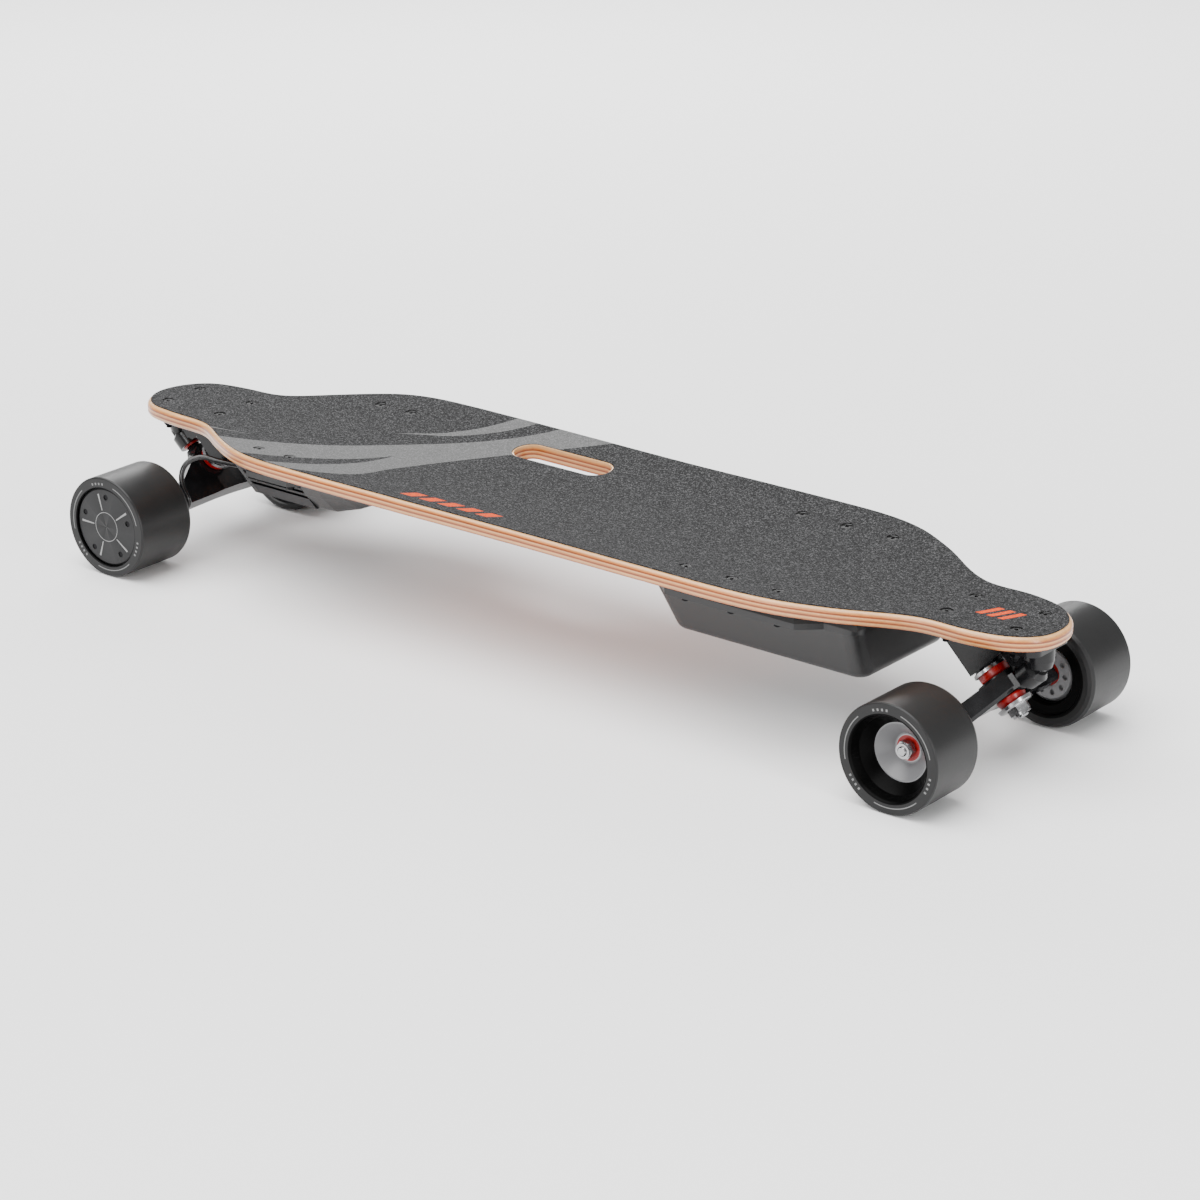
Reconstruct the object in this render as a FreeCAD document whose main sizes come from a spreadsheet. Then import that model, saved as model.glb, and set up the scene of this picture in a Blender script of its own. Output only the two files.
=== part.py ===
# Electric longboard: maple deck, two reverse-kingpin trucks, free front wheels, hub-motor rear wheels.
# Millimetres. +X is the nose, +Y the left side, +Z up. The origin is on the ground, under the deck's middle.
import FreeCAD, Part
import Sketcher
import math
import os

Vector = FreeCAD.Vector
Rotation = FreeCAD.Rotation
Placement = FreeCAD.Placement

# ---------------------------------------------------------------- driving dimensions

DIMENSIONS = {
    # wheels and trucks
    "wheel_radius": 45,
    "front_axle_x": 413.7,
    "rear_axle_x": -408.1,
    "kingpin_reach": 22.3,
    "ring_floor": 4,
    "ring_top": 13,
    "ring_hole": 8.6,
    "ring_radius": 17.5,
    "bushing_height": 8.5,
    "bushing_radius": 13,
    "washer_thickness": 2,
    "kingpin_radius": 4.7,
    "kingpin_head_start": 50,
    "nut_height": 7.5,
    "plate_thickness": 5,
    "plate_half_width": 27,
    "hanger_half_length": 85.5,
    "hanger_half_depth": 9,
    "axle_radius": 4,
    "front_wheel_inner": 80.7,
    "front_wheel_outer": 139.8,
    "bearing_radius": 11,
    "bearing_width": 7,
    "inner_bearing_y": 87,
    "outer_bearing_y": 104,
    "rear_wheel_inner": 82.2,
    "rear_wheel_outer": 144,
    "can_radius": 38.5,
    "can_wall": 3,
    "shaft_radius": 6,
    "stator_radius": 32.6,
    # deck
    "deck_underside": 109.6,
    "deck_thickness": 12.5,
    "deck_edge_radius": 4,
    "grip_thickness": 0.8,
    "grip_inset": 3,
    "grip_slot_margin": 1.4,
    "concave_depth": 10.4,
    "concave_end_depth": 4.5,
    "concave_half_width": 113,
    "truck_bolt_x": 416.7,
    "truck_bolt_length_spacing": 63.5,
    "truck_bolt_width_spacing": 41.3,
    "bolt_radius": 2.5,
    "bolt_hole_radius": 2.7,
    "slot_x": -65,
    "slot_y": 66,
    "slot_length": 100,
    "slot_width": 28,
    # cases under the deck
    "flange_top": 109,
    "flange_thickness": 5,
    "case_wall": 3,
    "battery_front": 338,
    "battery_back": 136,
    "battery_half_width": 74,
    "battery_floor_half_width": 57,
    "battery_floor": 62,
    "case_bolt_y": 79,
    "esc_back": -322,
    "esc_front": -156,
    "esc_step": -250,
    "esc_half_width": 70,
    "esc_floor_half_width": 44,
    "esc_floor": 70,
    "cell_radius": 9.2,
    "cell_length": 65,
    "cable_radius": 2.5,
}

BATTERY_BOLTS_X = (177, 222, 267)
ESC_BOLTS_X = (-283, -247.5)


class Size:
    """A number together with the sheet formula that gives it."""

    def __init__(self, value, formula):
        self.value = float(value)
        self.formula = formula

    def __add__(self, other):
        other = size(other)
        return Size(self.value + other.value, "(%s + %s)" % (self.formula, other.formula))

    def __sub__(self, other):
        other = size(other)
        return Size(self.value - other.value, "(%s - %s)" % (self.formula, other.formula))

    def __mul__(self, other):
        other = size(other)
        return Size(self.value * other.value, "%s * %s" % (self.formula, other.formula))

    def __truediv__(self, other):
        other = size(other)
        return Size(self.value / other.value, "%s / %s" % (self.formula, other.formula))

    def __neg__(self):
        return Size(-self.value, "(0 - %s)" % self.formula)

    def __radd__(self, other):
        return size(other) + self

    def __rsub__(self, other):
        return size(other) - self

    def __rmul__(self, other):
        return size(other) * self


def size(number):
    """Any number as a Size."""
    if isinstance(number, Size):
        return number
    return Size(number, "%.5f" % number if number >= 0 else "(0 - %.5f)" % -number)


doc = FreeCAD.newDocument("ElectricLongboard")


class Dims:
    """The spreadsheet's cells, read by name as Sizes."""

    def __init__(self, table):
        sheet = doc.addObject("Spreadsheet::Sheet", "Dims")
        for row, (name, value) in enumerate(table.items(), start=1):
            sheet.set("A%d" % row, name)
            sheet.set("B%d" % row, str(value))
            sheet.setAlias("B%d" % row, name)
            setattr(self, name, Size(value, "Dims." + name))
        doc.recompute()


dims = Dims(DIMENSIONS)

# ---------------------------------------------------------------- placements

FRONT = 0
REAR = 180


def axle_x(end):
    """The axle's X at the front or rear."""
    return dims.front_axle_x.value if end == FRONT else dims.rear_axle_x.value


def level_placement(end):
    """A level frame on the axle's centre: local X points outward, away from the board's middle."""
    return Placement(Vector(axle_x(end), 0, dims.wheel_radius.value), Rotation(Vector(0, 0, 1), end))


def tilted_placement(end, along=0.0):
    """The level frame tipped 45 degrees: local X is the steering axis, local Z the kingpin's upper end."""
    tilt = Placement(Vector(), Rotation(Vector(0, 1, 0), -45))
    shift = Placement(Vector(along, 0, 0), Rotation())
    return level_placement(end) * tilt * shift


def kingpin_placement(end):
    """A frame on the hanger ring's centre with the kingpin along local Z."""
    return tilted_placement(end, dims.kingpin_reach.value)


def wheel_placement(end, side):
    """A frame on the axle line whose +Y points out through the left (+1) or right (-1) wheel."""
    turn = 0 if side > 0 else 180
    return Placement(Vector(axle_x(end), 0, dims.wheel_radius.value), Rotation(Vector(0, 0, 1), turn))


def at(x, y, z, axis=Vector(0, 0, 1), angle=0):
    """A placement from plain numbers."""
    return Placement(Vector(x, y, z), Rotation(axis, angle))


# ---------------------------------------------------------------- sketch and feature helpers

parts = {}


def bind(thing, name, value):
    """Set a property and tie it to the sheet."""
    value = size(value)
    if "." not in name:
        setattr(thing, name, value.value)
    thing.setExpression(name, value.formula)


def new_body(label, placement=None):
    """An empty body, kept as a sub-part under its label."""
    body = doc.addObject("PartDesign::Body", label)
    body.Label = label
    if placement is not None:
        body.Placement = placement
    parts[label] = body
    return body


def new_sketch(body, plane, offset=0, turn=0, shift=(0, 0)):
    """A sketch on one of the body's origin planes, moved along the plane's normal, turned and shifted."""
    sketch = body.newObject("Sketcher::SketchObject", body.Name + "_sketch")
    origin = {feature.Role: feature for feature in body.Origin.OriginFeatures}
    sketch.AttachmentSupport = (origin[plane + "_Plane"], "")
    sketch.MapMode = "FlatFace"
    offset = size(offset)
    shift_x = size(shift[0])
    shift_y = size(shift[1])
    base = Vector(shift_x.value, shift_y.value, offset.value)
    sketch.AttachmentOffset = Placement(base, Rotation(Vector(0, 0, 1), turn))
    bind(sketch, ".AttachmentOffset.Base.x", shift_x)
    bind(sketch, ".AttachmentOffset.Base.y", shift_y)
    bind(sketch, ".AttachmentOffset.Base.z", offset)
    return sketch


def fix(sketch, kind, *geometry_and_size):
    """Add one dimension to a sketch and tie it to the sheet."""
    value = size(geometry_and_size[-1])
    index = sketch.addConstraint(Sketcher.Constraint(kind, *geometry_and_size[:-1], value.value))
    if "Dims." in value.formula:
        sketch.setExpression("Constraints[%d]" % index, value.formula)


def place_point(sketch, geometry, point, x, y):
    """Dimension a point from the sketch's origin."""
    fix(sketch, "DistanceX", -1, 1, geometry, point, x)
    fix(sketch, "DistanceY", -1, 1, geometry, point, y)


def polygon(sketch, points):
    """A closed outline of straight lines."""
    sizes = [(size(x), size(y)) for x, y in points]
    corners = [Vector(x.value, y.value, 0) for x, y in sizes]
    count = len(corners)
    first = sketch.GeometryCount
    for index in range(count):
        sketch.addGeometry(Part.LineSegment(corners[index], corners[(index + 1) % count]), False)
    for index in range(count):
        following = first + (index + 1) % count
        sketch.addConstraint(Sketcher.Constraint("Coincident", first + index, 2, following, 1))
    for index, (x, y) in enumerate(sizes):
        place_point(sketch, first + index, 1, x, y)


def circle(sketch, x, y, radius):
    """One circle."""
    x, y, radius = size(x), size(y), size(radius)
    centre = Vector(x.value, y.value, 0)
    index = sketch.addGeometry(Part.Circle(centre, Vector(0, 0, 1), radius.value), False)
    fix(sketch, "Radius", index, radius)
    place_point(sketch, index, 3, x, y)


def arc(centre, radius, start, end):
    """An arc of a circle, angles in degrees."""
    round_edge = Part.Circle(centre, Vector(0, 0, 1), radius)
    return Part.ArcOfCircle(round_edge, math.radians(start), math.radians(end))


def rounded_box(sketch, x_low, x_high, y_low, y_high, radius):
    """A rectangle with round corners."""
    radius = size(radius)
    left = size(x_low) + radius
    right = size(x_high) - radius
    low = size(y_low) + radius
    high = size(y_high) - radius
    corners = [(right, low, -90), (right, high, 0), (left, high, 90), (left, low, 180)]
    first = sketch.GeometryCount
    reach = radius.value
    for x, y, start in corners:
        centre = Vector(x.value, y.value, 0)
        sketch.addGeometry(arc(centre, reach, start, start + 90), False)
    for index in range(4):
        one = sketch.Geometry[first + index].EndPoint
        other = sketch.Geometry[first + (index + 1) % 4].StartPoint
        sketch.addGeometry(Part.LineSegment(one, other), False)
    for index, (x, y, start) in enumerate(corners):
        line = first + 4 + index
        sketch.addConstraint(Sketcher.Constraint("Tangent", first + index, 2, line, 1))
        sketch.addConstraint(Sketcher.Constraint("Tangent", line, 2, first + (index + 1) % 4, 1))
        fix(sketch, "Radius", first + index, radius)
        place_point(sketch, first + index, 3, x, y)


def long_hole(sketch, x, y, length, width):
    """A hole along X with full-round ends."""
    radius = size(width) / 2
    reach = size(length) / 2 - radius
    y = size(y)
    right = size(x) + reach
    left = size(x) - reach
    first = sketch.GeometryCount
    sketch.addGeometry(arc(Vector(right.value, y.value, 0), radius.value, -90, 90), False)
    sketch.addGeometry(arc(Vector(left.value, y.value, 0), radius.value, 90, 270), False)
    for index in range(2):
        one = sketch.Geometry[first + index].EndPoint
        other = sketch.Geometry[first + 1 - index].StartPoint
        sketch.addGeometry(Part.LineSegment(one, other), False)
        sketch.addConstraint(Sketcher.Constraint("Tangent", first + index, 2, first + 2 + index, 1))
        sketch.addConstraint(Sketcher.Constraint("Tangent", first + 2 + index, 2, first + 1 - index, 1))
    fix(sketch, "Radius", first, radius)
    place_point(sketch, first, 3, right, y)
    place_point(sketch, first + 1, 3, left, y)


def hexagon(sketch, across_flats):
    """A hexagon around the sketch's origin."""
    reach = size(across_flats) / 2 / size(math.cos(math.radians(30)))
    points = []
    for index in range(6):
        angle = math.radians(60 * index)
        points.append((reach * math.cos(angle), reach * math.sin(angle)))
    polygon(sketch, points)


def pad(body, sketch, length, flip=False, middle=False):
    """A Pad."""
    feature = body.newObject("PartDesign::Pad", body.Name + "_pad")
    feature.Profile = sketch
    bind(feature, "Length", length)
    feature.Reversed = flip
    feature.Midplane = middle
    return feature


def pocket(body, sketch, depth=None, flip=False, middle=False):
    """A Pocket; without a depth it goes right through."""
    feature = body.newObject("PartDesign::Pocket", body.Name + "_pocket")
    feature.Profile = sketch
    if depth is None:
        feature.Type = "ThroughAll"
    else:
        bind(feature, "Length", depth)
    feature.Reversed = flip
    feature.Midplane = middle
    return feature


def revolve(body, sketch, axis="V_Axis", cut=False):
    """A full Revolution, or a full Groove when it cuts."""
    kind = "PartDesign::Groove" if cut else "PartDesign::Revolution"
    feature = body.newObject(kind, body.Name + "_turned")
    feature.Profile = sketch
    feature.ReferenceAxis = (sketch, [axis])
    feature.Angle = 360
    return feature


def loft(body, sketches, ruled=False, cut=False):
    """An AdditiveLoft, or a SubtractiveLoft when it cuts."""
    kind = "PartDesign::SubtractiveLoft" if cut else "PartDesign::AdditiveLoft"
    feature = body.newObject(kind, body.Name + "_loft")
    feature.Profile = sketches[0]
    feature.Sections = sketches[1:]
    feature.Ruled = ruled
    return feature


def round_edges(body, radius, chosen):
    """Fillet the edges of the body's last feature that pass a test."""
    doc.recompute()
    base = body.Tip
    names = ["Edge%d" % (n + 1) for n, edge in enumerate(base.Shape.Edges) if chosen(edge)]
    feature = body.newObject("PartDesign::Fillet", body.Name + "_fillet")
    feature.Base = (base, names)
    bind(feature, "Radius", radius)
    return feature


def ring_of(body, feature, axis, count):
    """Repeat a feature around one of the body's axes."""
    origin = {role.Role: role for role in body.Origin.OriginFeatures}
    pattern = body.newObject("PartDesign::PolarPattern", body.Name + "_ring")
    pattern.Originals = [feature]
    pattern.Axis = (origin[axis + "_Axis"], [""])
    pattern.Angle = 360
    pattern.Occurrences = count
    body.Tip = pattern
    return pattern


def group(label, body, placements):
    """Copies of one body as separate solids of a single sub-part."""
    parts.pop(body.Label)
    body.Placement = placements[0]
    members = [body]
    for index, placement in enumerate(placements[1:], start=2):
        link = doc.addObject("App::Link", "%s_copy%d" % (label, index))
        link.LinkedObject = body
        link.Placement = placement
        members.append(link)
    compound = doc.addObject("Part::Compound", label)
    compound.Label = label
    compound.Links = members
    parts[label] = compound


# ---------------------------------------------------------------- deck and grip tape

# Half-width of the grip tape along the board, from the tail's tip to the nose's tip.
GRIP_OUTLINE = (
    (-470.5, 16), (-462, 29), (-449, 38.5), (-430, 43.5), (-408, 46), (-390, 47), (-377, 49.5),
    (-363, 56), (-346, 67.5), (-325, 81.5), (-303, 94.5), (-280, 105), (-255, 111), (-215, 113.6),
    (-150, 113.6), (-80, 112.8), (-20, 111.8), (50, 111.2), (120, 112), (190, 112), (235, 111),
    (262, 107.5), (286, 100.5), (308, 90), (327, 79), (346, 65.5), (363, 55), (378, 49),
    (396, 47.2), (414, 47.6), (431, 45.5), (447, 41), (461, 32), (470.5, 20),
)
TAIL_TIP_X = -474
NOSE_TIP_X = 474.5
SLAB_HALF_WIDTH = 135
MILL_LENGTH = 1100
MILL_WIDTH = 400


def edge_rise(y):
    """How far the concave lifts the deck at a distance y from its centre line."""
    return dims.concave_depth.value * (y / dims.concave_half_width.value) ** 2


def outline_curve(margin):
    """The board's closed plan outline, moved outward from the grip tape's edge by a margin."""
    left_side = [Vector(x, y, 0) for x, y in GRIP_OUTLINE]
    right_side = [Vector(x, -y, 0) for x, y in reversed(GRIP_OUTLINE)]
    points = [Vector(TAIL_TIP_X, 0, 0)] + left_side + [Vector(NOSE_TIP_X, 0, 0)] + right_side
    edge = Part.BSplineCurve()
    edge.interpolate(points, PeriodicFlag=True)
    if not margin:
        return edge
    moved = []
    for point in points:
        tangent = edge.tangent(edge.parameter(point))[0]
        outward = Vector(-tangent.y, tangent.x, 0)
        moved.append(point + outward * margin)
    wider = Part.BSplineCurve()
    wider.interpolate(moved, PeriodicFlag=True)
    return wider


def slab(body, low, high, flat_floor=False):
    """A long slab that follows the deck's concave."""
    sketch = new_sketch(body, "YZ")
    rise = edge_rise(SLAB_HALF_WIDTH)
    low = low.value
    high = high.value
    low_left = Vector(-SLAB_HALF_WIDTH, low if flat_floor else low + rise, 0)
    low_right = Vector(SLAB_HALF_WIDTH, low_left.y, 0)
    high_left = Vector(-SLAB_HALF_WIDTH, high + rise, 0)
    high_right = Vector(SLAB_HALF_WIDTH, high + rise, 0)
    if flat_floor:
        sketch.addGeometry(Part.LineSegment(low_left, low_right), False)
    else:
        sketch.addGeometry(Part.Arc(low_left, Vector(0, low, 0), low_right), False)
    sketch.addGeometry(Part.LineSegment(low_right, high_right), False)
    sketch.addGeometry(Part.Arc(high_right, Vector(0, high, 0), high_left), False)
    sketch.addGeometry(Part.LineSegment(high_left, low_left), False)
    pad(body, sketch, MILL_LENGTH, middle=True)


def trim_outside(body, margin):
    """Mill away everything outside the board's outline."""
    sketch = new_sketch(body, "XY")
    polygon(sketch, [(-MILL_LENGTH / 2, -MILL_WIDTH / 2), (MILL_LENGTH / 2, -MILL_WIDTH / 2),
                     (MILL_LENGTH / 2, MILL_WIDTH / 2), (-MILL_LENGTH / 2, MILL_WIDTH / 2)])
    sketch.addGeometry(outline_curve(margin), False)
    pocket(body, sketch, flip=True)


def truck_bolt_places():
    """Plan positions of the eight truck bolts."""
    places = []
    for end in (-1, 1):
        for along in (-1, 1):
            for side in (-1, 1):
                x = end * dims.truck_bolt_x + along * dims.truck_bolt_length_spacing / 2
                places.append((x, side * dims.truck_bolt_width_spacing / 2))
    return places


def case_bolt_places(stations):
    """Plan positions of a case's bolts, both sides."""
    return [(x, side * dims.case_bolt_y) for x in stations for side in (-1, 1)]


def drill(body, places, radius, floor=0, height=None):
    """Round holes up through a body."""
    sketch = new_sketch(body, "XY", floor)
    for x, y in places:
        circle(sketch, x, y, radius)
    pocket(body, sketch, height, flip=True)


def cut_slot(body, extra):
    """The carrying slot through the deck."""
    sketch = new_sketch(body, "XY")
    length = dims.slot_length + extra * 2
    width = dims.slot_width + extra * 2
    long_hole(sketch, dims.slot_x, dims.slot_y, length, width)
    pocket(body, sketch, flip=True)


HEAD_RADIUS = 5
HEAD_HEIGHT = 2.6
HEAD_CLEARANCE = 0.2
TRUCK_HEAD_LIFT = 0.3
CASE_HEAD_LIFT = 0.8


def bolt_holes(body, places, head_top, lift):
    """Holes with conical seats for flat-headed bolts, cut from a plane just above the curved face."""
    sketch = new_sketch(body, "XY", head_top + lift)
    for x, y in places:
        circle(sketch, x, y, dims.bolt_hole_radius)
    doc.recompute()
    hole = body.newObject("PartDesign::Hole", body.Name + "_hole")
    hole.Profile = sketch
    doc.recompute()
    hole.DepthType = "ThroughAll"
    bind(hole, "Diameter", dims.bolt_hole_radius * 2)
    hole.HoleCutType = "Countersink"
    hole.HoleCutDiameter = 2 * (HEAD_RADIUS + HEAD_CLEARANCE + lift)
    hole.HoleCutCountersinkAngle = 90


def truck_bolt_top():
    """Height of the truck bolts' heads, level with the wood round them."""
    return dims.deck_underside + dims.deck_thickness + edge_rise(dims.truck_bolt_width_spacing.value / 2)


def case_bolt_top():
    """Height of the wood's upper face at the case bolts."""
    return dims.deck_underside + dims.deck_thickness + edge_rise(dims.case_bolt_y.value)


def make_deck():
    body = new_body("deck")
    top = dims.deck_underside + dims.deck_thickness
    slab(body, dims.deck_underside, top)
    trim_outside(body, dims.grip_inset.value)
    cut_slot(body, 0)
    round_edges(body, dims.deck_edge_radius, lambda edge: edge.Length > 60 and edge.BoundBox.YLength > 20)
    bolt_holes(body, truck_bolt_places(), truck_bolt_top(), TRUCK_HEAD_LIFT)
    bolt_holes(body, case_bolt_places(BATTERY_BOLTS_X + ESC_BOLTS_X), case_bolt_top(), CASE_HEAD_LIFT)


def make_grip_tape():
    body = new_body("grip_tape")
    low = dims.deck_underside + dims.deck_thickness + 0.02
    slab(body, low, low + dims.grip_thickness)
    trim_outside(body, 0)
    cut_slot(body, dims.grip_slot_margin)
    drill(body, truck_bolt_places() + case_bolt_places(BATTERY_BOLTS_X + ESC_BOLTS_X), HEAD_RADIUS + 0.3)


# ---------------------------------------------------------------- trucks

SEAT_GAP = 0.02
SOFT_GAP = 0.3
BOSS_RADIUS = 13.5
BOSS_NOSE_RADIUS = 12
BOSS_TOP = 80
PIVOT_MOUTH = 46
PIVOT_END = 62
PIVOT_RADIUS = 11.5
CUP_RADIUS = 8.2
CUP_DEPTH = 11
PLATE_INNER_X = -43
PLATE_OUTER_X = 56
BOSS_WEB_THICKNESS = 28
PIVOT_WEB_THICKNESS = 17
LOBE_X = 44
LOBE_RADIUS = 12


def upper_bushing_end():
    """Where the upper bushing ends, from the steering axis along the kingpin."""
    return dims.ring_top + dims.bushing_height


def lower_bushing_end():
    """Where the lower bushing ends, below the steering axis along the kingpin."""
    return dims.ring_floor + dims.bushing_height


def plate_top():
    """Height of the baseplate's top face above the axle."""
    return dims.deck_underside - dims.wheel_radius


def truck_bolt_local_x(end, along):
    """Local X of a truck's inner (-1) or outer (+1) bolts, in its level frame."""
    reach = dims.truck_bolt_x + along * dims.truck_bolt_length_spacing / 2
    return reach - dims.front_axle_x if end == FRONT else reach + dims.rear_axle_x


def make_baseplate(name, end):
    """A cast baseplate: a flat plate, the kingpin's boss, the pivot's boss and the web between them."""
    body = new_body(name + "_baseplate", level_placement(end))
    top = plate_top()
    sketch = new_sketch(body, "XY", top - dims.plate_thickness)
    width = dims.plate_half_width
    rounded_box(sketch, PLATE_INNER_X, PLATE_OUTER_X, -width, width, 10)
    pad(body, sketch, dims.plate_thickness)
    reach = dims.kingpin_reach / math.sqrt(2)
    shift = (reach, reach)
    sketch = new_sketch(body, "XZ", turn=45, shift=shift)
    face = upper_bushing_end() + dims.washer_thickness + SEAT_GAP
    polygon(sketch, [(0, face), (BOSS_NOSE_RADIUS, face), (BOSS_RADIUS, face + 10), (BOSS_RADIUS, BOSS_TOP),
                     (0, BOSS_TOP)])
    revolve(body, sketch)
    sketch = new_sketch(body, "XZ", turn=-45)
    polygon(sketch, [(0, PIVOT_MOUTH), (PIVOT_RADIUS, PIVOT_MOUTH), (PIVOT_RADIUS + 0.5, PIVOT_END - 4),
                     (PIVOT_RADIUS - 3, PIVOT_END), (0, PIVOT_END)])
    revolve(body, sketch)
    # the broad web round the kingpin's boss, its edges along and across the kingpin
    sketch = new_sketch(body, "XZ")
    polygon(sketch, [(-8.8, 25.8), (-42, 59), (-42, top - 3), (24, top - 3), (14.5, 49.1)])
    pad(body, sketch, BOSS_WEB_THICKNESS, middle=True)
    # the narrow web over the pivot's boss
    sketch = new_sketch(body, "XZ")
    polygon(sketch, [(8, top - 3), (14, 49), (24, 41), (28, 42), (45, 38), (50, 43), (50, top - 3)])
    pad(body, sketch, PIVOT_WEB_THICKNESS, middle=True)
    # the rounded lobe at the outer end
    sketch = new_sketch(body, "XZ", shift=(LOBE_X, 0))
    polygon(sketch, [(0, 41), (LOBE_RADIUS - 5, 41), (LOBE_RADIUS - 1.5, 44), (LOBE_RADIUS, 50),
                     (LOBE_RADIUS, top - 3), (0, top - 3)])
    revolve(body, sketch)
    sketch = new_sketch(body, "XY", top)
    polygon(sketch, [(-90, -60), (90, -60), (90, 60), (-90, 60)])
    pocket(body, sketch, 60, flip=True)
    sketch = new_sketch(body, "XZ", turn=45, shift=shift)
    head = dims.kingpin_head_start
    polygon(sketch, [(0, 0), (dims.kingpin_radius + 0.1, 0), (dims.kingpin_radius + 0.1, head - 0.1),
                     (8.8, head - 0.1), (8.8, BOSS_TOP), (0, BOSS_TOP)])
    revolve(body, sketch, cut=True)
    sketch = new_sketch(body, "XZ", turn=-45)
    polygon(sketch, [(0, 30), (CUP_RADIUS + 0.05, 30), (CUP_RADIUS + 0.05, PIVOT_MOUTH + CUP_DEPTH),
                     (0, PIVOT_MOUTH + CUP_DEPTH)])
    revolve(body, sketch, cut=True)
    sketch = new_sketch(body, "XY", top - 20)
    for along in (-1, 1):
        for side in (-1, 1):
            x = truck_bolt_local_x(end, along)
            circle(sketch, x, side * dims.truck_bolt_width_spacing / 2, dims.bolt_hole_radius)
    pocket(body, sketch, 25, flip=True)


def make_pivot_cup(name, end):
    """A soft cup pressed into the pivot's boss."""
    body = new_body(name + "_pivot_cup", tilted_placement(end) * at(PIVOT_MOUTH, 0, 0, Vector(0, 1, 0), 90))
    sketch = new_sketch(body, "XZ")
    polygon(sketch, [(6.2, -1.5), (CUP_RADIUS - 0.6, -1.5), (CUP_RADIUS, 0), (CUP_RADIUS, CUP_DEPTH - 0.3),
                     (0, CUP_DEPTH - 0.3), (0, CUP_DEPTH - 2.5), (4, CUP_DEPTH - 2.5), (6.2, CUP_DEPTH - 5)])
    revolve(body, sketch)


def make_kingpins():
    """Kingpin bolts: a hexagon head inside the baseplate and a long shank."""
    body = new_body("kingpin")
    head = dims.kingpin_head_start
    sketch = new_sketch(body, "XZ")
    radius = dims.kingpin_radius
    tip = -(lower_bushing_end() + dims.washer_thickness + dims.nut_height + 2)
    polygon(sketch, [(0, tip), (radius - 0.8, tip), (radius, tip + 0.8), (radius, head), (0, head)])
    revolve(body, sketch)
    sketch = new_sketch(body, "XY", head)
    hexagon(sketch, 14.2)
    pad(body, sketch, 6)
    group("kingpins", body, [kingpin_placement(FRONT), kingpin_placement(REAR)])


def make_lock_nut(label, across_flats, height, bore):
    """A hexagon nut with a round insert collar on top, seated at local Z = 0 and standing downward."""
    body = new_body(label)
    sketch = new_sketch(body, "XY")
    hexagon(sketch, across_flats)
    pad(body, sketch, height * 0.72, flip=True)
    sketch = new_sketch(body, "XY")
    circle(sketch, 0, 0, across_flats / 2 - 0.4)
    pad(body, sketch, height, flip=True)
    sketch = new_sketch(body, "XY")
    circle(sketch, 0, 0, bore)
    pocket(body, sketch)
    return body


def make_bushings(name, end):
    """Two soft bushings, a barrel above the hanger's ring and a cone below it."""
    body = new_body(name + "_bushings", kingpin_placement(end))
    bore = dims.kingpin_radius + 0.1
    radius = dims.bushing_radius
    low = dims.ring_top + SOFT_GAP
    high = upper_bushing_end()
    sketch = new_sketch(body, "XZ")
    polygon(sketch, [(bore, low), (radius - 0.5, low), (radius, low + 0.8), (radius, high - 0.8),
                     (radius - 0.5, high), (bore, high)])
    revolve(body, sketch)
    low = dims.ring_floor + SOFT_GAP
    high = lower_bushing_end()
    sketch = new_sketch(body, "XZ")
    polygon(sketch, [(bore, -low), (radius - 0.3, -low), (radius, -low - 1.2), (radius - 2, -high + 0.8),
                     (radius - 2.8, -high), (bore, -high)])
    revolve(body, sketch)


def make_washers():
    """Cupped washers at both ends of each bushing stack."""
    body = new_body("bushing_washer")
    radius = dims.bushing_radius + 1
    bore = dims.kingpin_radius + 0.1
    thick = dims.washer_thickness
    sketch = new_sketch(body, "XZ")
    polygon(sketch, [(bore, 0), (radius, 0), (radius + 0.6, -1.6), (radius + 1.4, -1.5), (radius + 0.8, 1.2),
                     (radius - 0.6, thick), (bore, thick)])
    revolve(body, sketch)
    upper = at(0, 0, upper_bushing_end().value)
    lower = at(0, 0, -lower_bushing_end().value, Vector(1, 0, 0), 180)
    places = []
    for end in (FRONT, REAR):
        places += [kingpin_placement(end) * upper, kingpin_placement(end) * lower]
    group("bushing_washers", body, places)


MOTOR_PORT_X = -396.8
MOTOR_PORT_Y = 68
BEAM_CORNER = 3
BEAM_BACK = -9
SHOULDER_HEIGHT = 12


def hanger_section(body, y, high, floor, top):
    """A beam section at a distance along the axle: a box with one chamfered corner."""
    sketch = new_sketch(body, "XZ", -size(y))
    corner = floor + BEAM_CORNER
    polygon(sketch, [(BEAM_BACK, floor), (high - BEAM_CORNER, floor), (high, corner), (high, top),
                     (BEAM_BACK, top)])
    return sketch


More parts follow.
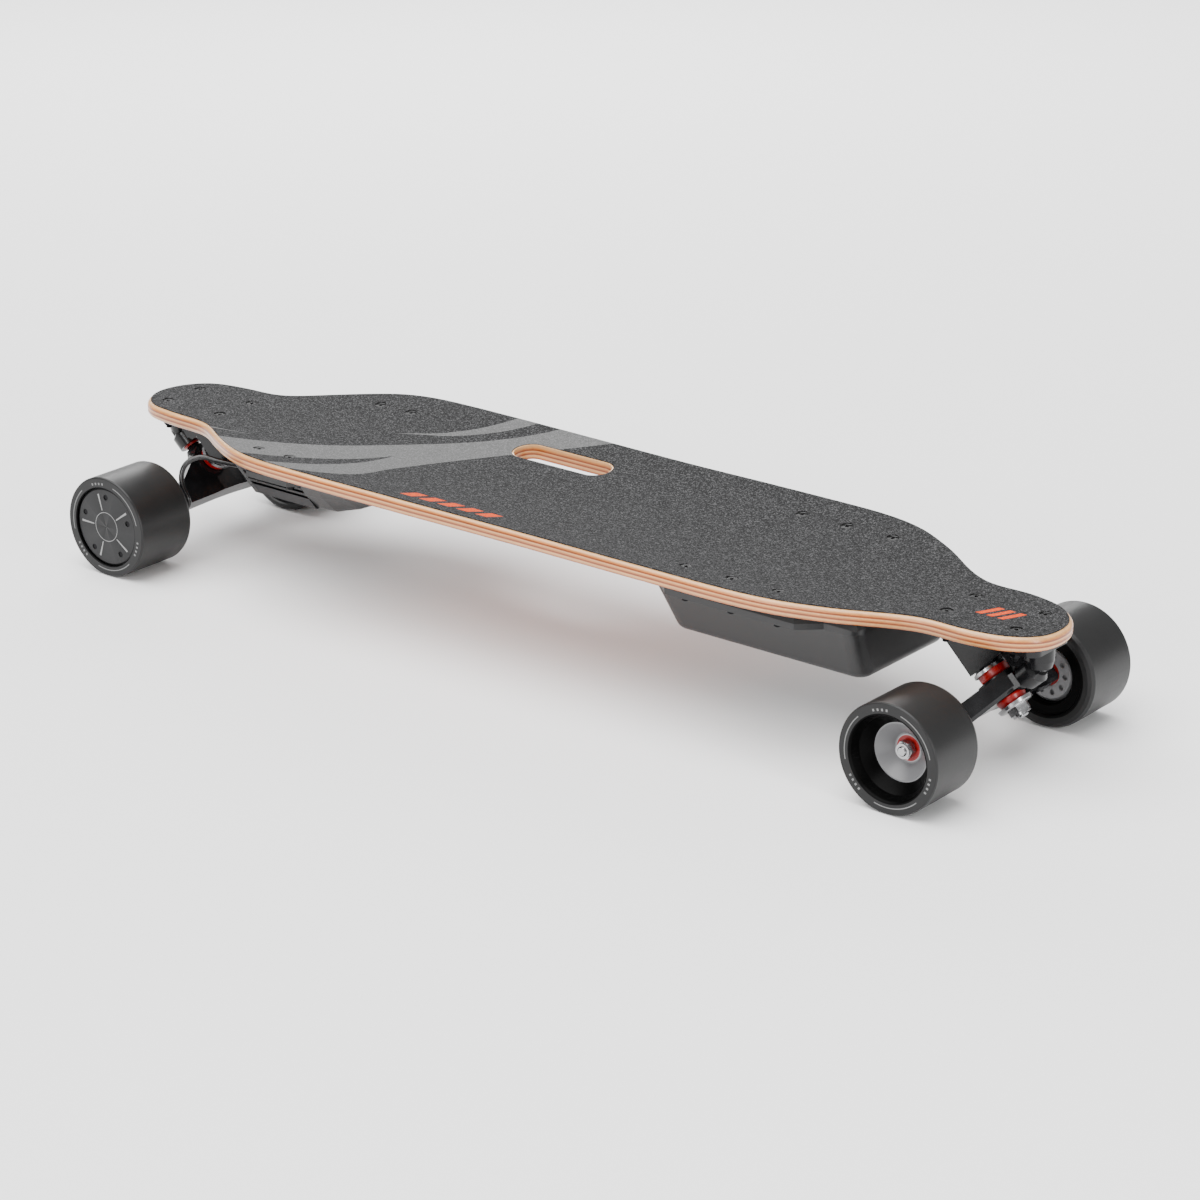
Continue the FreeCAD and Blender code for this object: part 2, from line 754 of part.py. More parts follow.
def make_hanger(name, end, shaft_radius, stem_radius=5.4, cable_places=()):
    """A hanger: a broad triangle from the axle beam to the arm that rides in the pivot cup."""
    body = new_body(name + "_hanger", tilted_placement(end))
    reach = dims.kingpin_reach
    depth = dims.hanger_half_depth
    # distance from the middle, outer edge, floor and top of each section
    stations = [(9, 38.5, -dims.ring_floor, dims.ring_top), (20, 29, -5, 11), (48, 9.5, 1 - depth, depth),
                (dims.hanger_half_length, 8.5, -depth, depth)]
    sections = []
    for side in (-1, 1):
        for y, high, floor, top in stations[::side]:
            sections.append(hanger_section(body, side * y, high, floor, top))
    loft(body, sections, ruled=True)
    sketch = new_sketch(body, "XZ", shift=(reach, 0))
    ring = dims.ring_radius
    top = dims.ring_top
    polygon(sketch, [(0, -dims.ring_floor), (ring, -dims.ring_floor), (ring, top), (0, top)])
    revolve(body, sketch)
    # the arm to the pivot, with a round tip
    sketch = new_sketch(body, "XZ", turn=-90)
    polygon(sketch, [(0, 28), (stem_radius + 3, 28), (stem_radius + 2, 40), (stem_radius, 44),
                     (stem_radius - 1, 51), (3, 53.5), (0, 53.5)])
    revolve(body, sketch)
    # the arm's flat shoulders
    sketch = new_sketch(body, "XY", -dims.ring_floor)
    polygon(sketch, [(30, -14), (42, -7), (42, 7), (30, 14)])
    pad(body, sketch, SHOULDER_HEIGHT)
    # lower bushing's seat, kingpin hole
    seat = dims.bushing_radius + 2.6
    sketch = new_sketch(body, "XZ", shift=(reach, 0))
    polygon(sketch, [(0, -dims.ring_floor), (seat, -dims.ring_floor), (seat + 1, -30), (0, -30)])
    revolve(body, sketch, cut=True)
    sketch = new_sketch(body, "XY", -20, shift=(reach, 0))
    circle(sketch, 0, 0, dims.ring_hole)
    pocket(body, sketch, 40, flip=True)
    # lightening pockets on the road side: shallow ones along the beam, deep ones beside the ring
    sketch = new_sketch(body, "XY", -depth)
    for side in (-1, 1):
        inner, outer = sorted((side * 46, side * 62))
        rounded_box(sketch, -6, 5, inner, outer, 2.5)
    pocket(body, sketch, 4, flip=True)
    sketch = new_sketch(body, "XY", -depth)
    for side in (-1, 1):
        polygon(sketch, [(7.5, side * 23), (22.5, side * 23), (10.8, side * 40), (7.5, side * 40)])
    pocket(body, sketch, 14, flip=True)
    # axle bore
    sketch = new_sketch(body, "XZ")
    circle(sketch, 0, 0, shaft_radius)
    pocket(body, sketch, middle=True)
    # level entries for the motor cables, flared at the mouth
    for y in cable_places:
        sketch = new_sketch(body, "XZ", -size(y), turn=45)
        polygon(sketch, [(0, 7), (2.9, 7), (2.9, 11.2), (3.7, 12.8), (3.7, 20), (0, 20)])
        revolve(body, sketch, cut=True)
    return body


# ---------------------------------------------------------------- front wheels

BEARING_NAMES = ("left", 1), ("right", -1)


def make_front_axle():
    """A steel rod through the hanger, its ends threaded for the wheel nuts."""
    body = new_body("front_axle", level_placement(FRONT))
    tip = 121
    sketch = new_sketch(body, "XY")
    radius = dims.axle_radius
    polygon(sketch, [(0, -tip), (radius - 0.8, -tip), (radius, 0.8 - tip), (radius, tip - 0.8),
                     (radius - 0.8, tip), (0, tip)])
    revolve(body, sketch)


def bearing_seats():
    """Where each front wheel's two bearings begin, from the axle's middle."""
    return dims.inner_bearing_y, dims.outer_bearing_y


def make_bearing_inners():
    """The inner races of the front bearings."""
    body = new_body("front_inner_race")
    bore = dims.axle_radius + 0.02
    sketch = new_sketch(body, "XY")
    polygon(sketch, [(bore, 0), (6, 0), (6, dims.bearing_width), (bore, dims.bearing_width)])
    revolve(body, sketch)
    places = []
    for word, side in BEARING_NAMES:
        for start in bearing_seats():
            places.append(wheel_placement(FRONT, side) * at(0, start.value, 0))
    group("front_bearing_inner_races", body, places)


def make_bearing_outers(name, end, side, starts, inner, radius, width):
    """The outer races and shields of one wheel's bearings."""
    body = new_body(name, wheel_placement(end, side))
    for start in starts:
        sketch = new_sketch(body, "XY")
        low = size(start)
        high = low + width
        polygon(sketch, [(inner + 0.05, low + 0.6), (radius - 2.4, low + 0.4), (radius - 2.2, low),
                         (radius, low), (radius, high), (radius - 2.2, high), (radius - 2.4, high - 0.4),
                         (inner + 0.05, high - 0.6)])
        revolve(body, sketch)


def make_axle_rings():
    """Thin speed rings either side of each wheel's bearings, and the spacer between them."""
    body = new_body("front_ring")
    bore = dims.axle_radius + 0.02
    inner = dims.inner_bearing_y
    outer = dims.outer_bearing_y
    width = dims.bearing_width
    beyond = outer + width
    for low, high in ((inner - 0.98, inner - 0.02), (inner + width, outer), (beyond + 0.02, beyond + 0.98)):
        sketch = new_sketch(body, "XY")
        polygon(sketch, [(bore, low), (5.8, low), (5.8, high), (bore, high)])
        revolve(body, sketch)
    group("front_axle_rings", body, [wheel_placement(FRONT, side) for word, side in BEARING_NAMES])


def make_axle_nuts():
    """The lock nuts that hold the front wheels on their axle."""
    nut = make_lock_nut("front_axle_nut", 13, 7.6, dims.axle_radius + 0.02)
    seat = (dims.outer_bearing_y + dims.bearing_width).value + 1
    upright = at(0, seat, 0, Vector(1, 0, 0), 90)
    places = [wheel_placement(FRONT, side) * upright for word, side in BEARING_NAMES]
    group("front_axle_nuts", nut, places)


def make_front_core(name, side):
    """The wheel's rigid core: bearing seats, a dished outer face and a dimpled inner face."""
    body = new_body("front_%s_core" % name, wheel_placement(FRONT, side))
    inner, outer = bearing_seats()
    seat = dims.bearing_radius
    sketch = new_sketch(body, "XY")
    polygon(sketch, [(seat, inner - 1), (21, inner - 1), (24, inner + 2), (30, inner + 6), (30, outer + 9),
                     (24, outer + 17.6), (22.8, outer + 17.6), (12.2, outer + 7.2), (seat, outer + 7),
                     (seat, outer), (9.5, outer), (9.5, inner + 7), (seat, inner + 7)])
    revolve(body, sketch)
    sketch = new_sketch(body, "XZ", -inner - 2)
    circle(sketch, 16, 0, 2.4)
    dimple = pocket(body, sketch, 8, flip=True)
    ring_of(body, dimple, "Y", 10)


def make_front_tyre(name, side):
    """A wide polyurethane tyre cast around the core."""
    body = new_body("front_%s_tyre" % name, wheel_placement(FRONT, side))
    inner, outer = bearing_seats()
    low = dims.front_wheel_inner
    high = dims.front_wheel_outer
    radius = dims.wheel_radius
    sketch = new_sketch(body, "XY")
    polygon(sketch, [(30, inner + 6), (24, inner + 2), (24, low + 3.5), (26, low + 1.8), (33, low + 1.8),
                     (34, low), (40.5, low), (43.4, low + 1.2), (radius, low + 4.5), (radius, high - 1.6),
                     (44.4, high - 0.3), (43.8, high), (35.2, high), (34.2, high - 1.6),
                     (31.5, high - 9), (24, outer + 17.6), (30, outer + 9)])
    revolve(body, sketch)


# ---------------------------------------------------------------- rear hub motors

MAGNETS = 20
SLOTS = 15
PLATE = 4
REAR_INNER_BEARING = 86
REAR_OUTER_BEARING = 131


def make_rear_sleeve(name, side):
    """The polyurethane sleeve of a hub-motor wheel, with a lip over the can's outer rim."""
    body = new_body("rear_%s_sleeve" % name, wheel_placement(REAR, side))
    low = dims.rear_wheel_inner
    high = dims.rear_wheel_outer
    can = dims.can_radius
    radius = dims.wheel_radius
    sketch = new_sketch(body, "XY")
    polygon(sketch, [(can, low + 1.5), (can + 1, low), (42, low), (44, low + 1), (radius, low + 3.5),
                     (radius, high - 1.6), (44.4, high - 0.3), (43.8, high), (36.2, high),
                     (35.4, high - 0.8), (35.4, high - 3), (can, high - 3)])
    revolve(body, sketch)


def make_can(name, side):
    """The motor's rotor can: a steel tube with an inner end plate that holds a bearing."""
    body = new_body("rear_%s_motor_can" % name, wheel_placement(REAR, side))
    low = dims.rear_wheel_inner + 1.8
    high = dims.rear_wheel_outer - 3
    can = dims.can_radius
    bore = can - dims.can_wall
    sketch = new_sketch(body, "XY")
    polygon(sketch, [(14, low), (17, low), (19, low + 1.5), (can, low + 1.5), (can, high), (bore, high),
                     (bore, low + 1.5 + PLATE), (17, low + 1.5 + PLATE), (17, REAR_INNER_BEARING + 8.2),
                     (14, REAR_INNER_BEARING + 8.2)])
    revolve(body, sketch)


def make_magnets(name, side):
    """Curved magnets around the inside of the can."""
    body = new_body("rear_%s_magnets" % name, wheel_placement(REAR, side))
    bore = (dims.can_radius - dims.can_wall).value
    sketch = new_sketch(body, "XZ", -95)
    half = 180 / MAGNETS - 0.8
    outer = arc(Vector(), bore, -half, half)
    inner = arc(Vector(), bore - 1.8, -half, half)
    sketch.addGeometry(outer, False)
    sketch.addGeometry(inner, False)
    sketch.addGeometry(Part.LineSegment(outer.EndPoint, inner.EndPoint), False)
    sketch.addGeometry(Part.LineSegment(inner.StartPoint, outer.StartPoint), False)
    magnet = pad(body, sketch, 33, flip=True)
    ring_of(body, magnet, "Y", MAGNETS)


def make_motor_cover(name, side):
    """The outer end cover: a slightly domed disc with five screw recesses and a bearing hub inside."""
    body = new_body("rear_%s_motor_cover" % name, wheel_placement(REAR, side))
    high = dims.rear_wheel_outer
    rim = dims.can_radius - dims.can_wall
    sketch = new_sketch(body, "XY")
    polygon(sketch, [(0, high - 3.4), (0, high - 1.2), (12, high - 1.2), (33.5, high - 1.8),
                     (35.2, high - 2.6), (35.2, high - 5), (rim - 0.1, high - 5), (rim - 0.1, high - 8), (15, high - 8),
                     (15, REAR_OUTER_BEARING), (11, REAR_OUTER_BEARING), (11, high - 3.4)])
    revolve(body, sketch)
    sketch = new_sketch(body, "XZ", -high)
    circle(sketch, 0, 27, 2.6)
    recess = pocket(body, sketch, 3.4, flip=True)
    ring_of(body, recess, "Y", 5)


def make_cover_screws(name, side):
    """Five screws in the motor cover's recesses."""
    body = new_body("rear_%s_cover_screws" % name, wheel_placement(REAR, side))
    high = dims.rear_wheel_outer
    sketch = new_sketch(body, "XZ", -high + 3.4)
    circle(sketch, 0, 27, 2.4)
    head = pad(body, sketch, 1.2, flip=True)
    ring_of(body, head, "Y", 5)


def make_rear_bearings(name, side):
    """The bearings at both ends of a motor, running on its shaft."""
    body = new_body("rear_%s_bearings" % name, wheel_placement(REAR, side))
    inner = REAR_INNER_BEARING
    outer = REAR_OUTER_BEARING
    for bore, radius, low, high in ((dims.shaft_radius + 0.05, 14, inner, inner + 8),
                                    (4.05, 11, outer + 0.1, outer + 7.1)):
        sketch = new_sketch(body, "XY")
        polygon(sketch, [(bore, low), (bore + 1.8, low), (bore + 2, low + 0.5), (radius - 2, low + 0.5),
                         (radius - 1.8, low), (radius, low), (radius, high), (radius - 1.8, high),
                         (radius - 2, high - 0.5), (bore + 2, high - 0.5), (bore + 1.8, high), (bore, high)])
        revolve(body, sketch)


def make_rear_shafts():
    """Stub shafts that carry the stators, held in the rear hanger."""
    body = new_body("rear_shaft")
    radius = dims.shaft_radius
    sketch = new_sketch(body, "XY")
    polygon(sketch, [(0, 45), (radius, 45), (radius, REAR_OUTER_BEARING), (4, REAR_OUTER_BEARING),
                     (4, REAR_OUTER_BEARING + 7.5), (0, REAR_OUTER_BEARING + 7.5)])
    revolve(body, sketch)
    group("rear_shafts", body, [wheel_placement(REAR, side) for word, side in BEARING_NAMES])


def make_stators():
    """Toothed iron stators on the shafts."""
    body = new_body("stator")
    radius = dims.stator_radius
    sketch = new_sketch(body, "XZ", -97)
    circle(sketch, 0, 0, radius)
    circle(sketch, 0, 0, dims.shaft_radius)
    pad(body, sketch, 29, flip=True)
    sketch = new_sketch(body, "XZ", -97)
    polygon(sketch, [(-2, 17.5), (2, 17.5), (3.4, 28.5), (0.8, 29.5), (0.8, 40), (-0.8, 40), (-0.8, 29.5),
                     (-3.4, 28.5)])
    slot = pocket(body, sketch, 40)
    ring_of(body, slot, "Y", SLOTS)
    group("rear_stators", body, [wheel_placement(REAR, side) for word, side in BEARING_NAMES])


def make_windings():
    """Copper coils around the stator's teeth."""
    body = new_body("winding")
    turn = math.radians(180 / SLOTS)
    middle = (22 * math.sin(turn), 22 * math.cos(turn))
    for start, length in ((94.5, 2.4), (126.1, 2.4)):
        sketch = new_sketch(body, "XZ", -start)
        circle(sketch, middle[0], middle[1], 4.2)
        coil = pad(body, sketch, length, flip=True)
        ring_of(body, coil, "Y", SLOTS)
    group("rear_windings", body, [wheel_placement(REAR, side) for word, side in BEARING_NAMES])


def make_wheel_parts(name, side):
    """One front and one rear wheel."""
    make_front_core(name, side)
    make_front_tyre(name, side)
    make_bearing_outers("front_%s_bearing_outer_races" % name, FRONT, side, bearing_seats(), 6,
                        dims.bearing_radius, dims.bearing_width)
    make_rear_sleeve(name, side)
    make_can(name, side)
    make_magnets(name, side)
    make_motor_cover(name, side)
    make_cover_screws(name, side)
    make_rear_bearings(name, side)


def make_trucks():
    """Both trucks, with their fasteners."""
    for name, end in (("front", FRONT), ("rear", REAR)):
        make_baseplate(name, end)
        make_pivot_cup(name, end)
        make_bushings(name, end)
    make_hanger("front", FRONT, dims.axle_radius + 0.02)
    make_hanger("rear", REAR, dims.shaft_radius + 0.02, cable_places=(-MOTOR_PORT_Y, MOTOR_PORT_Y))
    make_kingpins()
    make_washers()
    nut = make_lock_nut("kingpin_nut", 16.6, dims.nut_height, dims.kingpin_radius + 0.02)
    seat = -(lower_bushing_end() + dims.washer_thickness).value
    group("kingpin_nuts", nut, [kingpin_placement(end) * at(0, 0, seat) for end in (FRONT, REAR)])


# ---------------------------------------------------------------- fasteners through the deck

NUT_HEIGHT = 4.6


def make_flat_bolt(label, length):
    """A flat-headed bolt hanging from local Z = 0, with a socket in its head."""
    body = new_body(label)
    radius = dims.bolt_radius
    sketch = new_sketch(body, "XZ")
    polygon(sketch, [(0, 0), (HEAD_RADIUS - 0.15, 0), (HEAD_RADIUS - 0.15, -0.25), (radius, -HEAD_HEIGHT),
                     (radius, 0.5 - length), (radius - 0.5, -length), (0, -length)])
    revolve(body, sketch)
    sketch = new_sketch(body, "XY")
    hexagon(sketch, 3)
    pocket(body, sketch, 1.6)
    return body


def plan_placement(place, height):
    """A placement from a plan position and a height."""
    x, y = place
    return at(size(x).value, size(y).value, height)


def make_bolts_and_nuts(name, places, top, seat, length):
    """One family of bolts with its lock nuts."""
    bolt = make_flat_bolt(name + "_bolt", length)
    group(name + "_bolts", bolt, [plan_placement(place, top) for place in places])
    nut = make_lock_nut(name + "_nut", 8, NUT_HEIGHT, dims.bolt_radius + 0.02)
    group(name + "_nuts", nut, [plan_placement(place, seat) for place in places])


def make_fasteners():
    """The trucks' bolts and the cases' bolts."""
    top = truck_bolt_top().value
    seat = (dims.deck_underside - dims.plate_thickness).value - 0.02
    make_bolts_and_nuts("truck", truck_bolt_places(), top, seat, 25)
    top = case_bolt_top().value
    seat = (dims.flange_top - dims.flange_thickness).value - 0.02
    make_bolts_and_nuts("case", case_bolt_places(BATTERY_BOLTS_X + ESC_BOLTS_X), top, seat, 29)


# ---------------------------------------------------------------- battery case

EAR_REACH = 90
EAR_START = 6
EAR_SLANT = 12
BATTERY_EARS = (152, 302)
ESC_EARS = (-301, -230)
CORNER = 14
PORT_X = 206
BUTTON_X = 240
PORT_Z = 88
PORT_FACE_Y = 73


def ear_outline(sketch, low, high, ears, half_width):
    """A rim with two bolting ears, drawn as one outline."""
    reach = EAR_REACH
    back = ears[0] - EAR_START
    front = ears[1] + EAR_START
    tip_back = ears[0] + EAR_SLANT
    tip_front = ears[1] - EAR_SLANT
    polygon(sketch, [(low, -half_width), (back, -half_width), (tip_back, -reach), (tip_front, -reach),
                     (front, -half_width), (high, -half_width), (high, half_width), (front, half_width),
                     (tip_front, reach), (tip_back, reach), (back, half_width), (low, half_width)])


def make_gasket(label, low, high, ears, half_width, stations):
    """A foam gasket: flat against the case's rim below, curved against the deck above."""
    body = new_body(label)
    slab(body, dims.flange_top + 0.02, dims.deck_underside - 0.02, flat_floor=True)
    sketch = new_sketch(body, "XY")
    mill_x = MILL_LENGTH
    mill_y = MILL_WIDTH
    polygon(sketch, [(-mill_x, -mill_y), (mill_x, -mill_y), (mill_x, mill_y), (-mill_x, mill_y)])
    ear_outline(sketch, low, high, ears, half_width)
    pocket(body, sketch, flip=True)
    sketch = new_sketch(body, "XY")
    rounded_box(sketch, low + 8, high - 8, -half_width + 8, half_width - 8, 8)
    pocket(body, sketch, flip=True)
    drill(body, case_bolt_places(stations), dims.bolt_radius + 0.1)


def case_bolt_drill(body, stations):
    """Bolt holes through a case's ears."""
    drill(body, case_bolt_places(stations), dims.bolt_hole_radius, dims.flange_top - 20, 60)


def make_battery_case():
    """A deep tapered case with bolting ears and a port panel on its left side."""
    body = new_body("battery_case")
    low = dims.battery_back
    high = dims.battery_front
    rim = dims.battery_half_width
    foot = dims.battery_floor_half_width
    under_ears = dims.flange_top - dims.flange_thickness
    upper = new_sketch(body, "XY", under_ears)
    rounded_box(upper, low, high, -rim, rim, CORNER)
    lower = new_sketch(body, "XY", dims.battery_floor)
    rounded_box(lower, low + 12, high - 2, -foot, foot, CORNER)
    loft(body, [upper, lower], ruled=True)
    sketch = new_sketch(body, "XY", under_ears)
    rounded_box(sketch, low, high, -rim, rim, CORNER)
    pad(body, sketch, dims.flange_thickness)
    floor = dims.battery_floor.value
    round_edges(body, 8, lambda edge: edge.BoundBox.ZMax < floor + 0.5)
    sketch = new_sketch(body, "XY", under_ears)
    ear_outline(sketch, low + CORNER, high - CORNER, BATTERY_EARS, rim - 1)
    pad(body, sketch, dims.flange_thickness)
    sketch = new_sketch(body, "XY", 75)
    rounded_box(sketch, PORT_X - 16, BUTTON_X + 16, 40, PORT_FACE_Y, 2)
    pad(body, sketch, 27)
    wall = dims.case_wall
    upper = new_sketch(body, "XY", dims.flange_top + 1)
    rounded_box(upper, low + wall, high - wall, wall - rim, rim - wall, CORNER - 3)
    lower = new_sketch(body, "XY", dims.battery_floor + wall)
    rounded_box(lower, low + 12 + wall, high - 2 - wall, wall - foot, foot - wall, CORNER - 3)
    loft(body, [upper, lower], ruled=True, cut=True)
    for x, radius in ((PORT_X, 8.05), (BUTTON_X, 7.05)):
        sketch = new_sketch(body, "XZ", -90)
        circle(sketch, x, PORT_Z, radius)
        pocket(body, sketch, 45, flip=True)
    case_bolt_drill(body, BATTERY_BOLTS_X)


def make_battery_cells():
    """Twenty cylindrical cells: two layers of five, twice along the case."""
    body = new_body("cell")
    radius = dims.cell_radius
    length = dims.cell_length
    sketch = new_sketch(body, "YZ")
    circle(sketch, 0, 0, radius)
    pad(body, sketch, length)
    sketch = new_sketch(body, "YZ", length)
    circle(sketch, 0, 0, 3.2)
    pad(body, sketch, 0.8)
    places = []
    pitch = 2 * radius.value + 0.3
    base = (dims.battery_floor + dims.case_wall).value + radius.value + 0.4
    for start in (153, 221):
        for layer in range(2):
            for column in range(-2, 3):
                places.append(at(start, column * pitch, base + layer * pitch))
    group("battery_cells", body, places)


def make_cell_holders():
    """Plastic end frames that keep the cells apart."""
    body = new_body("cell_holders")
    radius = dims.cell_radius.value
    pitch = 2 * radius + 0.3
    base = (dims.battery_floor + dims.case_wall).value + radius + 0.4
    for x in (156, 212, 224, 280):
        sketch = new_sketch(body, "YZ", x)
        reach = 2.5 * pitch + 1.5
        low = base - radius - 0.3
        high = base + pitch + radius + 0.6
        rounded_box(sketch, -reach, reach, low, high, 3)
        for layer in range(2):
            for column in range(-2, 3):
                circle(sketch, column * pitch, base + layer * pitch, radius + 0.05)
        pad(body, sketch, 3)


def make_bms_board():
    """The cells' protection board with its transistors, connector and shunt."""
    body = new_body("bms_board")
    sketch = new_sketch(body, "XY", 76)
    rounded_box(sketch, 290, 326, -45, 45, 2)
    pad(body, sketch, 1.6)
    sketch = new_sketch(body, "XY", 77.6)
    for row in range(6):
        y = -36 + row * 10
        rounded_box(sketch, 294, 302, y, y + 6.5, 0.5)
    rounded_box(sketch, 308, 322, -38, -10, 1)
    rounded_box(sketch, 308, 321, 0, 12, 1)
    pad(body, sketch, 2.4)
    sketch = new_sketch(body, "XY", 77.6)
    rounded_box(sketch, 306, 323, 20, 40, 1)
    pad(body, sketch, 7)


def make_charge_socket():
    """The round charging socket in the port panel."""
    body = new_body("charge_socket", at(PORT_X, 0, PORT_Z))
    face = PORT_FACE_Y
    sketch = new_sketch(body, "XY")
    polygon(sketch, [(0, face - 14), (7.95, face - 14), (7.95, face), (10, face), (10, face + 1.2),
                     (9, face + 1.8), (4.2, face + 1.8), (4.2, face - 11), (0, face - 11)])
    revolve(body, sketch)
    sketch = new_sketch(body, "XZ", -(face - 11.5))
    circle(sketch, 0, 0, 1)
    pad(body, sketch, 9, flip=True)
    # the hinge's two lugs above the socket
    sketch = new_sketch(body, "XY", 10)
    for side in (-1, 1):
        inner, outer = sorted((side * 4.2, side * 7))
        rounded_box(sketch, inner, outer, face + 0.5, face + 5, 0.8)
    pad(body, sketch, 4.4)
    sketch = new_sketch(body, "XY", 7)
    rounded_box(sketch, -7, 7, face, face + 1.2, 0.4)
    pad(body, sketch, 6.2)
    sketch = new_sketch(body, "YZ", -8)
    circle(sketch, face + 3.2, 12.2, 0.85)
    pocket(body, sketch, 16, flip=True)


def make_charge_cap():
    """The socket's hinged dust cap."""
    body = new_body("charge_cap", at(PORT_X, 0, PORT_Z))
    face = PORT_FACE_Y
    sketch = new_sketch(body, "XZ", -(face + 2.1))
    circle(sketch, 0, 0, 9)
    pad(body, sketch, 2.2, flip=True)
    sketch = new_sketch(body, "XZ", -(face + 2.1))
    rounded_box(sketch, -3.9, 3.9, 4, 12, 0.8)
    pad(body, sketch, 2.2, flip=True)
    sketch = new_sketch(body, "YZ", -3.9)
    circle(sketch, face + 3.2, 12.2, 2)
    pad(body, sketch, 7.8)
    sketch = new_sketch(body, "YZ", -6.9)
    circle(sketch, face + 3.2, 12.2, 0.8)
    pad(body, sketch, 13.8)
    sketch = new_sketch(body, "XZ", -(face + 2.2))
    circle(sketch, 0, 0, 4)
    pad(body, sketch, 1.8, flip=False)
    # a thumb lip
    sketch = new_sketch(body, "XZ", -(face + 2.1))
    rounded_box(sketch, -4, 4, -11.5, -6, 1)
    pad(body, sketch, 1.6, flip=True)


def make_power_switch():
    """The switch housing behind the power button, with its bezel."""
    body = new_body("power_switch", at(BUTTON_X, 0, PORT_Z))
    face = PORT_FACE_Y
    sketch = new_sketch(body, "XY")
    polygon(sketch, [(0, face - 14), (6.95, face - 14), (6.95, face), (9, face), (9, face + 1.2),
                     (8.4, face + 2), (6.2, face + 2), (6.2, face - 6), (0, face - 6)])
    revolve(body, sketch)


def make_power_button():
    """The round power button."""
    body = new_body("power_button", at(BUTTON_X, 0, PORT_Z))
    face = PORT_FACE_Y
    sketch = new_sketch(body, "XY")
    polygon(sketch, [(0, face - 3.8), (6.1, face - 3.8), (6.1, face + 2.6), (5.4, face + 3.4),
                     (3.5, face + 3.2), (0, face + 3)])
    revolve(body, sketch)


# ---------------------------------------------------------------- speed controller

FIN_SLOTS = 3
SLOT_TOP = 97
SLOT_PITCH = 6.2
SLOT_HEIGHT = 3.2
SLOT_DEPTH = 9


def esc_side(z):
    """Half-width of the controller's sloping side at a height."""
    low = dims.esc_floor.value
    high = (dims.flange_top - dims.flange_thickness).value
    share = (z - low) / (high - low)
    return dims.esc_floor_half_width.value + share * (dims.esc_half_width - dims.esc_floor_half_width).value


def dome_section(body, x, foot, floor):
    """One cross-section of the controller's domed cover."""
    sketch = new_sketch(body, "YZ", x)
    high = dims.flange_top - dims.flange_thickness
    rim = dims.esc_half_width - 0.5
    middle = (high + floor) / 2
    bend = (foot + rim) / 2 + 1
    corner = (high - floor) / 12 + floor
    polygon(sketch, [(-rim, high), (-bend, middle), (-foot, corner), (-foot + 4, floor), (foot - 4, floor),
                     (foot, corner), (bend, middle), (rim, high)])
    return sketch


def make_esc_case():
    """The controller's case: a rim with ears, an end wall and a dome that fades into the deck."""
    body = new_body("esc_case")
    back = dims.esc_back
    front = dims.esc_front
    rim = dims.esc_half_width
    under_ears = dims.flange_top - dims.flange_thickness
    sketch = new_sketch(body, "XY", under_ears)
    ear_outline(sketch, back, front, ESC_EARS, rim)
    pad(body, sketch, dims.flange_thickness)
    step = dims.esc_step
    foot = dims.esc_floor_half_width
    floor = dims.esc_floor
    shapes = [(step, foot, floor), (step + 20, foot - 1, floor + 0.8), (step + 45, foot - 4, floor + 8),
              (step + 70, foot - 8, floor + 19), (front - 1, foot - 14, floor + 31)]
    loft(body, [dome_section(body, x, half, low) for x, half, low in shapes], ruled=True)
    sketch = new_sketch(body, "YZ", back)
    polygon(sketch, [(-foot, floor), (foot, floor), (rim, under_ears), (-rim, under_ears)])
    pad(body, sketch, 5)
    sketch = new_sketch(body, "XY", floor + 14)
    rounded_box(sketch, step + 4, step + 52, -34, 34, 6)
    pocket(body, sketch, 60, flip=True)
    sketch = new_sketch(body, "XY", under_ears - 0.5)
    rounded_box(sketch, back + 8, front - 12, -rim + 8, rim - 8, 8)
    pocket(body, sketch, 60, flip=True)
    sketch = new_sketch(body, "YZ", back - 1)
    for side in (-1, 1):
        circle(sketch, side * GLAND_Y, GLAND_Z, GLAND_BORE)
    pocket(body, sketch, 12, flip=True)
    case_bolt_drill(body, ESC_BOLTS_X)


def make_heatsink():
    """A finned aluminium block between the end wall and the dome."""
    body = new_body("esc_heatsink")
    low = dims.esc_floor.value
    high = (dims.flange_top - dims.flange_thickness).value - 0.55
    right = [(esc_side(low), low)]
    for index in reversed(range(FIN_SLOTS)):
        slot_high = SLOT_TOP - index * SLOT_PITCH
        slot_low = slot_high - SLOT_HEIGHT
        right.append((esc_side(slot_low), slot_low))
        right.append((esc_side(slot_low) - SLOT_DEPTH, slot_low))
        right.append((esc_side(slot_high) - SLOT_DEPTH, slot_high))
        right.append((esc_side(slot_high), slot_high))
    right.append((esc_side(high) - 0.3, high))
    left = [(-y, z) for y, z in reversed(right)]
    start = dims.esc_back + 5
    sketch = new_sketch(body, "YZ", start)
    polygon(sketch, right + left)
    pad(body, sketch, dims.esc_step - start)
    sketch = new_sketch(body, "XY", low)
    for index in range(5):
        y = -28 + index * 14
        rounded_box(sketch, -308, -258, y - 3.5, y + 3.5, 3)
    pocket(body, sketch, 7, flip=True)
    # clearance for the cable glands' inner ends and the leads
    sketch = new_sketch(body, "YZ", start - 1)
    for side in (-1, 1):
        circle(sketch, side * GLAND_Y, GLAND_Z, GLAND_BORE + 0.8)
    pocket(body, sketch, 8, flip=True)


GLAND_Y = 46
GLAND_Z = 92
GLAND_BORE = 4.5
GLAND_TIP = -334


